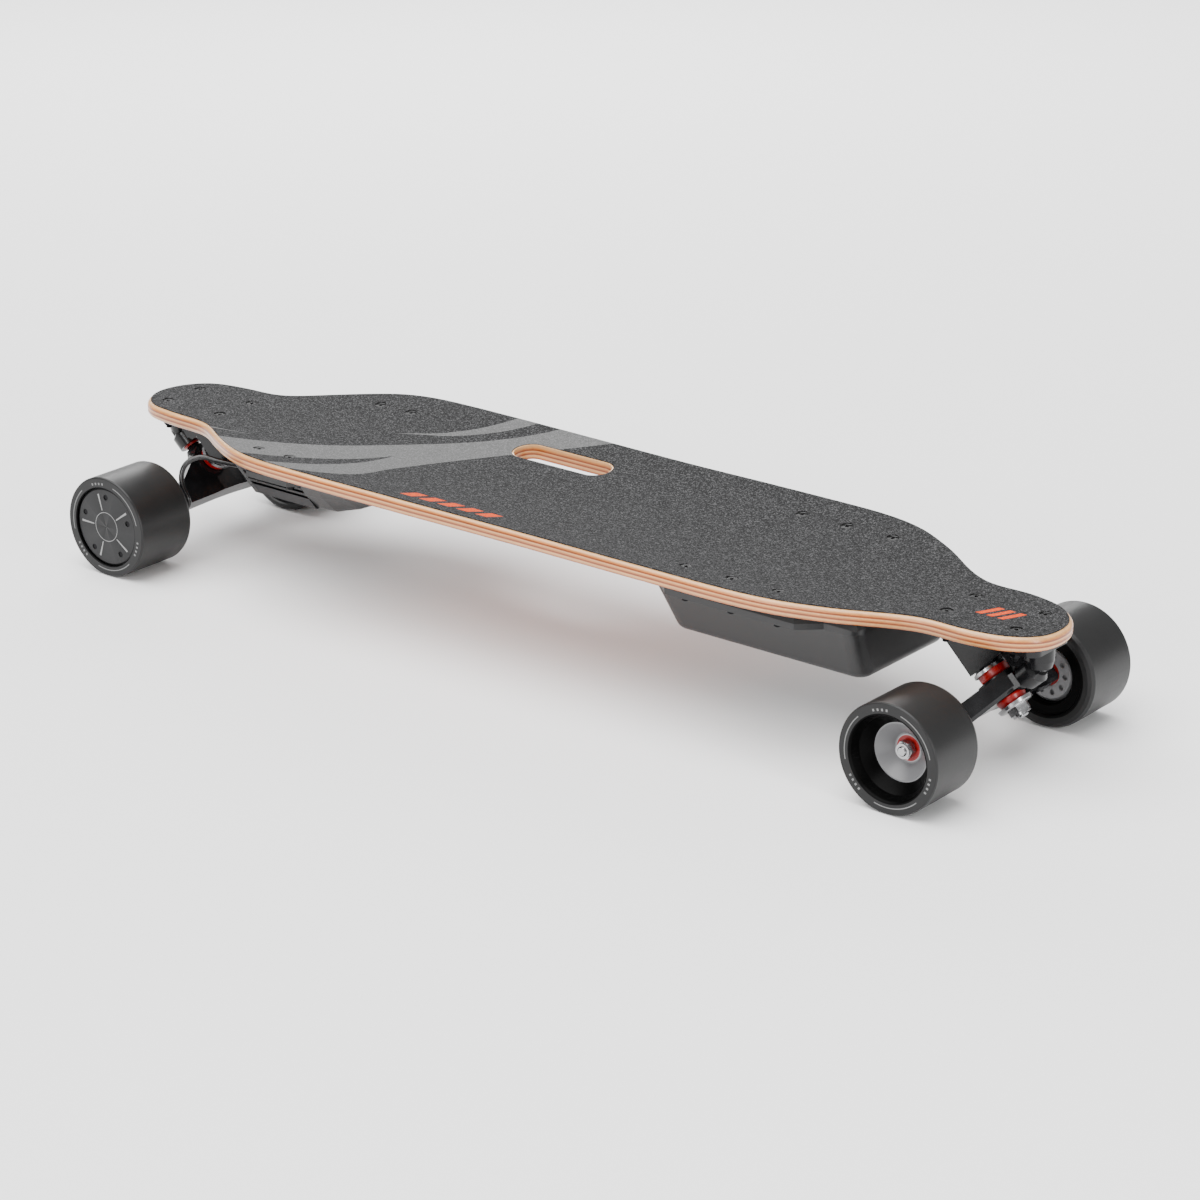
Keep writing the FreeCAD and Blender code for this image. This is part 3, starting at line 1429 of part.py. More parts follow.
def make_glands():
    """Two cable glands in the controller's end wall."""
    body = new_body("gland")
    bore = dims.cable_radius + 0.05
    wall = dims.esc_back
    sketch = new_sketch(body, "XZ")
    polygon(sketch, [(wall + 7, bore), (wall + 7, GLAND_BORE - 0.05), (wall, GLAND_BORE - 0.05), (wall, 6.5),
                     (wall - 4, 6.5), (wall - 5, 5.2), (GLAND_TIP + 1, 4.4), (GLAND_TIP, 3.6),
                     (GLAND_TIP, bore)])
    revolve(body, sketch, "H_Axis")
    group("esc_cable_glands", body, [at(0, side * GLAND_Y, GLAND_Z) for side in (-1, 1)])


def make_esc_board():
    """The controller's circuit board with transistors and a receiver module."""
    body = new_body("esc_board")
    base = 104.2
    sketch = new_sketch(body, "XY", base)
    rounded_box(sketch, -308, -175, -55, 55, 3)
    pad(body, sketch, 1.6)
    sketch = new_sketch(body, "XY", base + 1.6)
    for row in range(6):
        for column in range(2):
            x = -300 + row * 14
            y = -38 + column * 50
            rounded_box(sketch, x, x + 9, y, y + 14, 0.5)
    rounded_box(sketch, -206, -184, 18, 46, 1)
    pad(body, sketch, 1.8)


def make_capacitors():
    """Smoothing capacitors hanging under the board, inside the dome."""
    body = new_body("capacitor")
    sketch = new_sketch(body, "XY")
    circle(sketch, 0, 0, 6.2)
    pad(body, sketch, 18, flip=True)
    sketch = new_sketch(body, "XY", -18)
    circle(sketch, 0, 0, 5.2)
    pad(body, sketch, 0.6, flip=True)
    places = [at(x, y, 104.15) for x in (-236, -220) for y in (-20, 0, 20)]
    group("esc_capacitors", body, places)


# ---------------------------------------------------------------- cables

MOTOR_CABLE_ROUTE = (
    (GLAND_TIP, GLAND_Y, GLAND_Z), (-356, 49, 91), (-375, 57, 96), (-386, 68, 88), (-384, 74, 72),
    (-374, 73, 58), (-382, 69, 47), (MOTOR_PORT_X, MOTOR_PORT_Y, 45),
)


def rounded_route(points):
    """Straight runs joined by tangent arcs, with the arcs' radii."""
    points = [Vector(*point) for point in points]
    edges = []
    radii = []
    start = points[0]
    for before, corner, after in zip(points, points[1:], points[2:]):
        back = (before - corner).normalize()
        forward = (after - corner).normalize()
        turn = math.pi - back.getAngle(forward)
        shorter = min(before.distanceToPoint(corner), corner.distanceToPoint(after))
        radius = 0.45 * shorter / math.tan(turn / 2)
        cut = radius * math.tan(turn / 2)
        first = corner + back * cut
        last = corner + forward * cut
        bisector = (back + forward).normalize()
        centre = corner + bisector * (radius / math.cos(turn / 2))
        middle = centre - bisector * radius
        edges.append(Part.LineSegment(start, first).toShape())
        edges.append(Part.Arc(first, middle, last).toShape())
        radii.append(radius)
        start = last
    edges.append(Part.LineSegment(start, points[-1]).toShape())
    return Part.Wire(edges), radii


def make_cable(label, points):
    """A round cable swept along a rounded route."""
    route, radii = rounded_route(points)
    radius = dims.cable_radius.value
    direction = route.Edges[0].tangentAt(route.Edges[0].FirstParameter)
    section = Part.Wire([Part.makeCircle(radius, Vector(*points[0]), direction)])
    cable = doc.addObject("Part::Feature", label)
    cable.Label = label
    cable.Shape = route.makePipeShell([section], True, False)
    parts[label] = cable
    expected = math.pi * radius * radius * route.Length
    smallest = " ".join("%.1f" % value for value in radii)
    print("%s: length %.1f mm, volume %.0f of %.0f, bend radii %s" % (
        label, route.Length, cable.Shape.Volume, expected, smallest))


def make_motor_cables():
    """The cable from each motor to the speed controller."""
    for name, side in BEARING_NAMES:
        make_cable("rear_%s_motor_cable" % name, [(x, side * y, z) for x, y, z in MOTOR_CABLE_ROUTE])


def make_power_cable():
    """The flat cable between the battery and the controller, held against the deck."""
    body = new_body("power_cable")
    sketch = new_sketch(body, "YZ", dims.esc_front + 0.02)
    rounded_box(sketch, -8, 8, 105.9, 109.4, 1.7)
    pad(body, sketch, dims.battery_back - dims.esc_front - 0.04)


make_deck()
make_grip_tape()
make_fasteners()
make_battery_case()
make_gasket("battery_gasket", dims.battery_back, dims.battery_front, BATTERY_EARS, dims.battery_half_width,
            BATTERY_BOLTS_X)
make_battery_cells()
make_cell_holders()
make_bms_board()
make_charge_socket()
make_charge_cap()
make_power_switch()
make_power_button()
make_esc_case()
make_gasket("esc_gasket", dims.esc_back, dims.esc_front, ESC_EARS, dims.esc_half_width, ESC_BOLTS_X)
make_heatsink()
make_glands()
make_esc_board()
make_capacitors()
make_motor_cables()
make_power_cable()
make_trucks()
make_front_axle()
make_bearing_inners()
make_axle_rings()
make_axle_nuts()
for wheel_name, wheel_side in BEARING_NAMES:
    make_wheel_parts(wheel_name, wheel_side)
make_rear_shafts()
make_stators()
make_windings()


# ---------------------------------------------------------------- check and write

def write_parts():
    """Check every object, then write each sub-part to its own file."""
    doc.recompute()
    for thing in doc.Objects:
        if "Invalid" in thing.State or "Error" in thing.State:
            raise RuntimeError("%s failed: %s" % (thing.Name, thing.State))
    os.makedirs("parts", exist_ok=True)
    for label, part in parts.items():
        shape = part.Shape
        if shape.isNull() or not shape.isValid():
            raise RuntimeError("%s has no valid shape" % label)
        shape.exportStep("parts/%s.step" % label)
        box = shape.BoundBox
        print("%-24s solids %2d  volume %9.0f  x %7.1f %7.1f  y %7.1f %7.1f  z %6.1f %6.1f" % (
            label, len(shape.Solids), shape.Volume,
            box.XMin, box.XMax, box.YMin, box.YMax, box.ZMin, box.ZMax))


write_parts()
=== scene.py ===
# Electric longboard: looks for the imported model. Metres, in the model's own frame.
import math

import bpy
from mathutils import Matrix, Vector


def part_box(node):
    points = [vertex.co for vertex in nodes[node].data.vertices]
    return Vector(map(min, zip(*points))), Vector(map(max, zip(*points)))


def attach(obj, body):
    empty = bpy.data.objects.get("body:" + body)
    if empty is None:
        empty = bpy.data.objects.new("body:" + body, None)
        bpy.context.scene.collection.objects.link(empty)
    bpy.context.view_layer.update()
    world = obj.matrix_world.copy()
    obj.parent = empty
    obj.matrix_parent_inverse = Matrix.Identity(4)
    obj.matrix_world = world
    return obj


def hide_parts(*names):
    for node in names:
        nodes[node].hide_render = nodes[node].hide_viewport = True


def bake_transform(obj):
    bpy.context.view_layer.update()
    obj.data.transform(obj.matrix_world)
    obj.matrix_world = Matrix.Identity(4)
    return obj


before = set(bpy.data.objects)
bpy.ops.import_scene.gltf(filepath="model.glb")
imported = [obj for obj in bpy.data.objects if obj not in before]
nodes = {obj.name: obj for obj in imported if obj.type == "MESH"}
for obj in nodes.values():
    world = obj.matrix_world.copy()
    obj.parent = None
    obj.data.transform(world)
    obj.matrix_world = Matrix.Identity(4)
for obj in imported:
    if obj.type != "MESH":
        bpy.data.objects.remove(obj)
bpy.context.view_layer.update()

# ---------------------------------------------------------------- places read from the frame


def middle(node):
    """The middle of a node's box."""
    low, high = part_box(node)
    return (Vector(low) + Vector(high)) / 2


FRONT_AXLE = middle("front_axle")
REAR_AXLE = middle("rear_shafts")
REAR_AXLE.y = 0
WHEEL_RADIUS = FRONT_AXLE.z
DECK_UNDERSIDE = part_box("deck")[0][2]
CONCAVE_DEPTH = 0.0104
CONCAVE_HALF_WIDTH = 0.113
DECK_THICKNESS = 0.0125

# Where the wheels' faces begin, how far out their hollow reaches (painted shade darkens the hollow out to
# there), and the printing's rings.
FACE_LINE = 0.1385
DISH_RADIUS = 0.0362
ARC_RING = (0.0388, 0.0396)
DOT_RING = (0.0382, 0.0402)

# Points of one bolt lie closer together than this; the wood is painted black this far from its middle, as
# painted shade in the bolt hole.
BOLT_SPREAD = 0.015
BOLT_SHADE_REACH = 0.0085

# ---------------------------------------------------------------- camera, light and floor

CAMERA_PLACE = Vector((1.8867, -2.3695, 1.1812))
CAMERA_AZIMUTH = math.radians(38.1)
CAMERA_ELEVATION = math.radians(20.76)
CAMERA_ROLL = math.radians(0.43)
CAMERA_LENS = 115.5


def add_camera():
    """A camera at the photograph's viewing angle."""
    data = bpy.data.cameras.new("camera")
    data.lens = CAMERA_LENS
    data.sensor_width = 36
    data.clip_end = 50
    camera = bpy.data.objects.new("camera", data)
    bpy.context.collection.objects.link(camera)
    level = math.cos(CAMERA_ELEVATION)
    back = Vector((math.sin(CAMERA_AZIMUTH) * level, -math.cos(CAMERA_AZIMUTH) * level,
                   math.sin(CAMERA_ELEVATION)))
    right = Vector((math.cos(CAMERA_AZIMUTH), math.sin(CAMERA_AZIMUTH), 0))
    up = back.cross(right)
    tipped_right = right * math.cos(CAMERA_ROLL) + up * math.sin(CAMERA_ROLL)
    tipped_up = up * math.cos(CAMERA_ROLL) - right * math.sin(CAMERA_ROLL)
    turn = Matrix((tipped_right, tipped_up, back)).transposed()
    camera.matrix_world = Matrix.Translation(CAMERA_PLACE) @ turn.to_4x4()
    bpy.context.scene.camera = camera


def add_area_light(name, place, target, width, height, power):
    """A soft rectangular light aimed at a point."""
    data = bpy.data.lights.new(name, "AREA")
    data.shape = "RECTANGLE"
    data.size = width
    data.size_y = height
    data.energy = power
    light = bpy.data.objects.new(name, data)
    bpy.context.collection.objects.link(light)
    light.location = place
    light.rotation_euler = (Vector(target) - Vector(place)).to_track_quat("-Z", "Y").to_euler()


def add_studio():
    """A pale floor, a white surround and soft lights."""
    world = bpy.data.worlds.new("studio")
    bpy.context.scene.world = world
    world.use_nodes = True
    background = world.node_tree.nodes["Background"]
    background.inputs["Color"].default_value = (1, 1, 1, 1)
    background.inputs["Strength"].default_value = 0.55
    centre = (0, 0, 0.08)
    sun = bpy.data.lights.new("overhead_light", "SUN")
    sun.energy = 6.5
    sun.angle = math.radians(70)
    overhead = bpy.data.objects.new("overhead_light", sun)
    bpy.context.collection.objects.link(overhead)
    overhead.rotation_euler = (math.radians(14), math.radians(-10), 0)
    add_area_light("side_light", (2.6, -0.5, 0.8), centre, 0.5, 1.6, 30)
    add_area_light("front_light", (0.3, -2.4, 1.0), centre, 2.2, 0.35, 26)
    add_area_light("back_light", (-1.8, 1.9, 1.2), centre, 2.2, 0.5, 40)
    mesh = bpy.data.meshes.new("floor")
    reach = 12
    corners = [(-reach, -reach, 0), (reach, -reach, 0), (reach, reach, 0), (-reach, reach, 0)]
    mesh.from_pydata(corners, [], [(0, 1, 2, 3)])
    floor = bpy.data.objects.new("floor", mesh)
    bpy.context.collection.objects.link(floor)
    floor.location.z = -0.0002
    paint = Paint("floor_paint")
    paint.base.inputs["Base Color"].default_value = (0.87, 0.87, 0.87, 1)
    paint.base.inputs["Roughness"].default_value = 0.9
    floor.data.materials.append(paint.material)


# ---------------------------------------------------------------- material helpers


class Paint:
    """A node material built up step by step around one Principled shader."""

    def __init__(self, name):
        self.material = bpy.data.materials.new(name)
        self.material.use_nodes = True
        self.tree = self.material.node_tree
        self.base = self.tree.nodes["Principled BSDF"]
        self.place = None
        self.height = None

    def node(self, kind, **settings):
        """Add a node and set its properties."""
        made = self.tree.nodes.new(kind)
        for name, value in settings.items():
            setattr(made, name, value)
        return made

    def link(self, output, target):
        """Join an output to an input."""
        self.tree.links.new(output, target)

    def position(self):
        """Object coordinates: the model's own frame at rest."""
        if self.place is None:
            self.place = self.node("ShaderNodeTexCoord").outputs["Object"]
        return self.place

    def math(self, operation, first, second=None):
        """One Math node; inputs are sockets or numbers."""
        made = self.node("ShaderNodeMath", operation=operation)
        for index, value in enumerate((first, second)):
            if value is None:
                continue
            if isinstance(value, (int, float)):
                made.inputs[index].default_value = value
            else:
                self.link(value, made.inputs[index])
        return made.outputs[0]

    def noise(self, scale, detail=4, roughness=0.55, stretch=(1, 1, 1)):
        """Noise in metres: scale is features per metre."""
        mapping = self.node("ShaderNodeMapping")
        mapping.inputs["Scale"].default_value = stretch
        self.link(self.position(), mapping.inputs["Vector"])
        made = self.node("ShaderNodeTexNoise")
        made.inputs["Scale"].default_value = scale
        made.inputs["Detail"].default_value = detail
        made.inputs["Roughness"].default_value = roughness
        self.link(mapping.outputs[0], made.inputs["Vector"])
        return made.outputs["Fac"]

    def grains(self, scale):
        """Mineral grains: a random shade in each small cell."""
        cells = self.node("ShaderNodeTexVoronoi")
        cells.inputs["Scale"].default_value = scale
        self.link(self.position(), cells.inputs["Vector"])
        shade = self.node("ShaderNodeSeparateColor")
        self.link(cells.outputs["Color"], shade.inputs[0])
        return shade.outputs[0]

    def ramp(self, value, stops, smooth=True):
        """A colour ramp; stops are (position, colour or grey)."""
        made = self.node("ShaderNodeValToRGB")
        made.color_ramp.interpolation = "LINEAR" if smooth else "CONSTANT"
        elements = made.color_ramp.elements
        while len(elements) < len(stops):
            elements.new(0.5)
        for element, (position, colour) in zip(elements, stops):
            element.position = position
            if isinstance(colour, (int, float)):
                colour = (colour, colour, colour)
            element.color = (*colour, 1)
        self.link(value, made.inputs[0])
        return made.outputs[0]

    def mix(self, share, first, second, blend="MIX"):
        """Mix two colours, sockets or tuples."""
        made = self.node("ShaderNodeMix", data_type="RGBA", blend_type=blend)
        for name, value in (("Factor", share), ("A", first), ("B", second)):
            socket = [s for s in made.inputs if s.name == name and s.enabled][0]
            if isinstance(value, (int, float)):
                socket.default_value = value
            elif isinstance(value, tuple):
                socket.default_value = (*value, 1)
            else:
                self.link(value, socket)
        return [s for s in made.outputs if s.enabled][0]

    def colour(self, value):
        """The base colour."""
        if isinstance(value, tuple):
            self.base.inputs["Base Color"].default_value = (*value, 1)
        else:
            self.link(value, self.base.inputs["Base Color"])

    def rough(self, value, low=None, high=None):
        """Roughness: one number, or a socket's 0 to 1 stretched from low to high."""
        if low is None:
            self.base.inputs["Roughness"].default_value = value
            return
        made = self.node("ShaderNodeMapRange")
        made.inputs["To Min"].default_value = low
        made.inputs["To Max"].default_value = high
        self.link(value, made.inputs["Value"])
        self.link(made.outputs[0], self.base.inputs["Roughness"])

    def shine(self, value):
        """How much of the surround the clear surface reflects."""
        self.base.inputs["Specular IOR Level"].default_value = value

    def metal(self, value=1.0):
        """How metallic it is."""
        self.base.inputs["Metallic"].default_value = value

    def bump(self, value, depth, strength=1.0):
        """Relief in metres, added to any relief already there."""
        made = self.node("ShaderNodeBump")
        made.inputs["Strength"].default_value = strength
        made.inputs["Distance"].default_value = depth
        self.link(value, made.inputs["Height"])
        if self.height is not None:
            self.link(self.height, made.inputs["Normal"])
        self.height = made.outputs[0]
        self.link(self.height, self.base.inputs["Normal"])

    def split(self):
        """X, Y and Z of the position."""
        made = self.node("ShaderNodeSeparateXYZ")
        self.link(self.position(), made.inputs[0])
        return made.outputs

    def around(self, centre):
        """Distance from, and angle around, an axis along Y through a point."""
        x, y, z = self.split()
        dx = self.math("SUBTRACT", x, centre.x)
        dz = self.math("SUBTRACT", z, centre.z)
        squares = self.math("ADD", self.math("MULTIPLY", dx, dx), self.math("MULTIPLY", dz, dz))
        return self.math("SQRT", squares), self.math("ARCTAN2", dz, dx)

    def band(self, value, low, high):
        """1 where a value lies between two numbers, else 0."""
        above = self.math("GREATER_THAN", value, low)
        return self.math("MULTIPLY", above, self.math("LESS_THAN", value, high))


def cast_metal(name, colour, rough_low, rough_high, relief=0.00008, metal=0.0, shine=0.3):
    """A painted casting: fine orange-peel relief and patchy gloss."""
    paint = Paint(name)
    patches = paint.noise(60, 3)
    shade = tuple(value * 1.9 + 0.002 for value in colour)
    paint.colour(paint.mix(paint.ramp(patches, [(0.35, 0), (0.75, 1)]), colour, shade))
    paint.rough(patches, rough_low, rough_high)
    paint.shine(shine)
    paint.metal(metal)
    paint.bump(paint.noise(900, 2), relief, 0.5)
    paint.bump(paint.noise(120, 2), relief * 3, 0.3)
    return paint.material


def bare_steel(name, colour=(0.62, 0.62, 0.63), rough=0.28):
    """Zinc-plated or turned steel with faint turning marks."""
    paint = Paint(name)
    marks = paint.noise(700, 3, stretch=(1, 0.15, 1))
    darker = tuple(value * 0.72 for value in colour)
    paint.colour(paint.mix(marks, darker, colour))
    paint.rough(marks, rough - 0.08, rough + 0.12)
    paint.metal()
    paint.bump(marks, 0.00003, 0.4)
    return paint.material


def urethane_red(name):
    """Glossy red urethane."""
    paint = Paint(name)
    cloud = paint.noise(90, 3)
    paint.colour(paint.mix(cloud, (0.24, 0.002, 0.002), (0.40, 0.005, 0.004)))
    paint.rough(cloud, 0.22, 0.36)
    paint.bump(paint.noise(400, 2), 0.00006, 0.3)
    paint.base.inputs["Subsurface Weight"].default_value = 0.12
    paint.base.inputs["Subsurface Radius"].default_value = (0.004, 0.0006, 0.0004)
    return paint.material


def wheel_urethane(name, centre):
    """Satin black wheel urethane: fine grain, road dust on the tread, printed arcs on the face and painted
    shade in the hollow.
    """
    paint = Paint(name)
    radius, angle = paint.around(centre)
    grain = paint.noise(1500, 2)
    cloud = paint.noise(35, 4)
    body = paint.mix(cloud, (0.0035, 0.0035, 0.0037), (0.0080, 0.0080, 0.0083))
    dust = paint.math("MULTIPLY", paint.math("GREATER_THAN", radius, WHEEL_RADIUS - 0.0004), 0.30)
    body = paint.mix(dust, body, (0.018, 0.018, 0.018))
    turns = paint.math("MULTIPLY", angle, 1 / (2 * math.pi))
    wave = paint.math("FRACT", paint.math("MULTIPLY", turns, 3))
    side = paint.math("ABSOLUTE", paint.split()[1])
    face = paint.math("GREATER_THAN", side, FACE_LINE)
    ring = paint.band(radius, *ARC_RING)
    arcs = paint.math("MULTIPLY", paint.math("MULTIPLY", ring, paint.band(wave, 0.12, 0.62)), face)
    dots_ring = paint.band(radius, *DOT_RING)
    dot = paint.band(paint.math("FRACT", paint.math("MULTIPLY", turns, 60)), 0.3, 0.7)
    dots = paint.math("MULTIPLY", dot, paint.band(wave, 0.74, 0.96))
    dots = paint.math("MULTIPLY", paint.math("MULTIPLY", dots, dots_ring), face)
    printed = paint.math("MAXIMUM", arcs, dots)
    # Painted shade: the hollow inside the face is painted near black and reflects less.
    hollow_shade = paint.band(radius, 0.005, DISH_RADIUS)
    body = paint.mix(hollow_shade, body, (0.0008, 0.0008, 0.0008))
    paint.colour(paint.mix(printed, body, (0.16, 0.16, 0.16)))
    paint.rough(cloud, 0.34, 0.46)
    reflection = paint.math("SUBTRACT", 0.32, paint.math("MULTIPLY", hollow_shade, 0.27))
    paint.link(reflection, paint.base.inputs["Specular IOR Level"])
    paint.bump(grain, 0.00005, 0.5)
    paint.bump(paint.noise(140, 2, stretch=(1, 3, 1)), 0.00012, 0.25)
    return paint.material


def moulded(name, colour, rough_low=0.45, rough_high=0.62, grain=1400, relief=0.00012):
    """Moulded plastic with a fine leathery grain."""
    paint = Paint(name)
    patches = paint.noise(25, 3)
    lighter = tuple(value * 1.5 + 0.001 for value in colour)
    paint.colour(paint.mix(patches, colour, lighter))
    paint.rough(patches, rough_low, rough_high)
    paint.bump(paint.noise(grain, 2), relief, 0.7)
    paint.bump(paint.noise(grain / 5, 2), relief, 0.25)
    return paint.material


def bolt_places():
    """The bolts' middles seen from above, on one side of the board; each bolt is a solid of its own."""
    groups = []
    for name in ("truck_bolts", "case_bolts"):
        for vertex in nodes[name].data.vertices:
            spot = vertex.co.xy
            for group in groups:
                if (group[0] - spot).length < BOLT_SPREAD:
                    group.append(spot)
                    break
            else:
                groups.append([spot])
    places = []
    for group in groups:
        across = [spot.x for spot in group]
        along = [spot.y for spot in group]
        place = ((min(across) + max(across)) / 2, (min(along) + max(along)) / 2)
        if place[1] > 0:
            places.append(place)
    return places


def bolt_hole_shade(paint):
    """1 inside a small circle round each bolt, where the countersinks are painted black as shade in the
    holes.
    """
    x, y = paint.split()[:2]
    side = paint.math("ABSOLUTE", y)
    mask = None
    for place_x, place_y in bolt_places():
        dx = paint.math("SUBTRACT", x, place_x)
        dy = paint.math("SUBTRACT", side, place_y)
        squares = paint.math("ADD", paint.math("MULTIPLY", dx, dx), paint.math("MULTIPLY", dy, dy))
        inside = paint.math("LESS_THAN", squares, BOLT_SHADE_REACH * BOLT_SHADE_REACH)
        mask = inside if mask is None else paint.math("MAXIMUM", mask, inside)
    return mask


def maple(name):
    """Maple plies: the colour follows the height inside the deck, with long grain and painted shade round the
    bolts.
    """
    paint = Paint(name)
    y, z = paint.split()[1:]
    across = paint.math("MULTIPLY", y, 1 / CONCAVE_HALF_WIDTH)
    rise = paint.math("MULTIPLY", paint.math("MULTIPLY", across, across), CONCAVE_DEPTH)
    wander = paint.math("SUBTRACT", paint.noise(14, 2, stretch=(1, 1, 0)), 0.5)
    wobble = paint.math("MULTIPLY", wander, 0.0007)
    inside = paint.math("SUBTRACT", paint.math("SUBTRACT", z, DECK_UNDERSIDE), rise)
    height = paint.math("ADD", inside, wobble)
    level = paint.math("MULTIPLY", height, 1 / DECK_THICKNESS)
    cream = (0.60, 0.255, 0.075)
    pale = (0.70, 0.390, 0.165)
    orange = (0.42, 0.105, 0.014)
    brown = (0.13, 0.024, 0.003)
    # The pale stops are partly lighter plies and partly painted highlight along the deck's edge.
    plies = paint.ramp(level, [
        (0.00, orange), (0.09, orange), (0.13, cream), (0.26, pale), (0.31, orange), (0.37, brown),
        (0.41, orange), (0.50, cream), (0.56, pale), (0.60, orange), (0.66, brown), (0.70, orange),
        (0.80, cream), (0.92, pale)])
    grain = paint.noise(160, 6, 0.65, stretch=(0.06, 1, 2.2))
    fibres = paint.noise(900, 3, 0.6, stretch=(0.05, 1, 1))
    shade = paint.ramp(grain, [(0.3, 0.72), (0.7, 1.0)])
    colour = paint.mix(0.75, plies, shade, "MULTIPLY")
    colour = paint.mix(0.35, colour, paint.ramp(fibres, [(0.35, 0.6), (0.6, 1.0)]), "MULTIPLY")
    # Painted shade: the wood round each bolt is painted near black.
    colour = paint.mix(bolt_hole_shade(paint), colour, (0.003, 0.003, 0.003))
    paint.colour(colour)
    paint.rough(grain, 0.26, 0.42)
    paint.bump(fibres, 0.00006, 0.35)
    paint.base.inputs["Coat Weight"].default_value = 0.35
    paint.base.inputs["Coat Roughness"].default_value = 0.2
    return paint.material


CURVE_REACH = 0.12
CURVE_LENGTH = 0.5
BAND_EDGE = 0.0006


def boundary(paint, points):
    """X as a smooth function of Y: a line that crosses the board through (y, x) points in metres."""
    y = paint.split()[1]
    share = paint.math("MULTIPLY", paint.math("ADD", y, CURVE_REACH), 1 / (2 * CURVE_REACH))
    curve = paint.node("ShaderNodeFloatCurve")
    line = curve.mapping.curves[0]
    places = [((y + CURVE_REACH) / (2 * CURVE_REACH), (x + CURVE_LENGTH) / CURVE_LENGTH) for y, x in points]
    while len(line.points) < len(places):
        line.points.new(0.5, 0.5)
    for point, place in zip(line.points, places):
        point.location = place
    curve.mapping.update()
    paint.link(share, curve.inputs["Value"])
    return paint.math("SUBTRACT", paint.math("MULTIPLY", curve.outputs[0], CURVE_LENGTH), CURVE_LENGTH)


def between(paint, first, second):
    """1 where X lies between two boundaries, with a slightly soft edge."""
    x = paint.split()[0]
    softness = 1 / BAND_EDGE
    after = paint.node("ShaderNodeMath", operation="MULTIPLY", use_clamp=True)
    paint.link(paint.math("SUBTRACT", x, first), after.inputs[0])
    after.inputs[1].default_value = softness
    before = paint.node("ShaderNodeMath", operation="MULTIPLY", use_clamp=True)
    paint.link(paint.math("SUBTRACT", second, x), before.inputs[0])
    before.inputs[1].default_value = softness
    return paint.math("MULTIPLY", after.outputs[0], before.outputs[0])


def sweep_mask(paint):
    """Plain bands that sweep across the tail half of the grip tape."""
    y = paint.split()[1]
    tail_side = boundary(paint, [(-0.12, -0.420), (-0.077, -0.335), (-0.041, -0.272), (0.015, -0.205),
                                 (0.071, -0.140), (0.12, -0.100)])
    nose_side = boundary(paint, [(-0.12, -0.228), (-0.090, -0.181), (-0.034, -0.163), (0.008, -0.142),
                                 (0.050, -0.110), (0.12, -0.036)])
    broad = between(paint, tail_side, nose_side)
    gap_tail = boundary(paint, [(-0.12, -0.300), (-0.060, -0.225), (-0.007, -0.188), (0.12, -0.160)])
    gap_nose = boundary(paint, [(-0.12, -0.252), (-0.060, -0.203), (-0.007, -0.188), (0.12, -0.185)])
    gap = paint.math("MULTIPLY", between(paint, gap_tail, gap_nose), paint.math("LESS_THAN", y, -0.007))
    thin_tail = boundary(paint, [(-0.12, -0.330), (0.032, -0.229), (0.060, -0.190), (0.12, -0.150)])
    thin_nose = boundary(paint, [(-0.12, -0.340), (0.032, -0.229), (0.060, -0.176), (0.12, -0.126)])
    thin = paint.math("MULTIPLY", between(paint, thin_tail, thin_nose), paint.math("GREATER_THAN", y, 0.032))
    edge_tail = boundary(paint, [(-0.12, -0.470), (-0.060, -0.372), (-0.044, -0.313), (0.12, -0.300)])
    edge_nose = boundary(paint, [(-0.12, -0.455), (-0.060, -0.360), (-0.044, -0.313), (0.12, -0.310)])
    edge = paint.math("MULTIPLY", between(paint, edge_tail, edge_nose), paint.math("LESS_THAN", y, -0.044))
    solid = paint.math("MULTIPLY", broad, paint.math("SUBTRACT", 1, gap))
    return paint.math("MAXIMUM", paint.math("MAXIMUM", solid, thin), edge)


def bars_mask(paint, start, end, low, high, count, fill):
    """A row of plain slanted bars."""
    x, y = paint.split()[:2]
    slanted = paint.math("SUBTRACT", x, paint.math("MULTIPLY", paint.math("SUBTRACT", y, low), 0.45))
    along = paint.math("MULTIPLY", paint.math("SUBTRACT", slanted, start), count / (end - start))
    inside = paint.math("MULTIPLY", paint.band(slanted, start, end), paint.band(y, low, high))
    return paint.math("MULTIPLY", inside, paint.math("LESS_THAN", paint.math("FRACT", along), fill))


def grip_paint(name):
    """Grip tape: sharp mineral grains in a dark binder, with pale sweeping bands and plain orange bars."""
    paint = Paint(name)
    coarse = paint.noise(620, 3, 0.8)
    fine = paint.noise(1900, 2, 0.7)
    worn = paint.noise(9, 3)
    speck = paint.math("ADD", paint.math("MULTIPLY", paint.grains(950), 0.55),
                       paint.math("MULTIPLY", paint.grains(1700), 0.45))
    dark = paint.ramp(speck, [(0.15, (0.003, 0.003, 0.003)), (0.45, (0.012, 0.012, 0.0125)),
                              (0.65, (0.030, 0.030, 0.031)), (0.88, (0.095, 0.095, 0.097))])
    pale = paint.ramp(speck, [(0.15, (0.078, 0.078, 0.078)), (0.55, (0.105, 0.105, 0.105)),
                              (0.88, (0.160, 0.160, 0.160))])
    ground = paint.mix(paint.math("MULTIPLY", worn, 0.12), dark, (0.030, 0.030, 0.030))
    colour = paint.mix(sweep_mask(paint), ground, pale)
    side_bars = bars_mask(paint, -0.107, -0.006, -0.097, -0.083, 5, 0.62)
    nose_bars = bars_mask(paint, 0.404, 0.434, -0.010, 0.010, 3, 0.55)
    orange = paint.ramp(speck, [(0.20, (0.46, 0.035, 0.004)), (0.85, (0.72, 0.085, 0.010))])
    paint.colour(paint.mix(paint.math("MAXIMUM", side_bars, nose_bars), colour, orange))
    paint.rough(coarse, 0.62, 0.95)
    paint.shine(0.12)
    paint.bump(coarse, 0.0005, 0.7)
    paint.bump(fine, 0.0002, 0.5)
    return paint.material


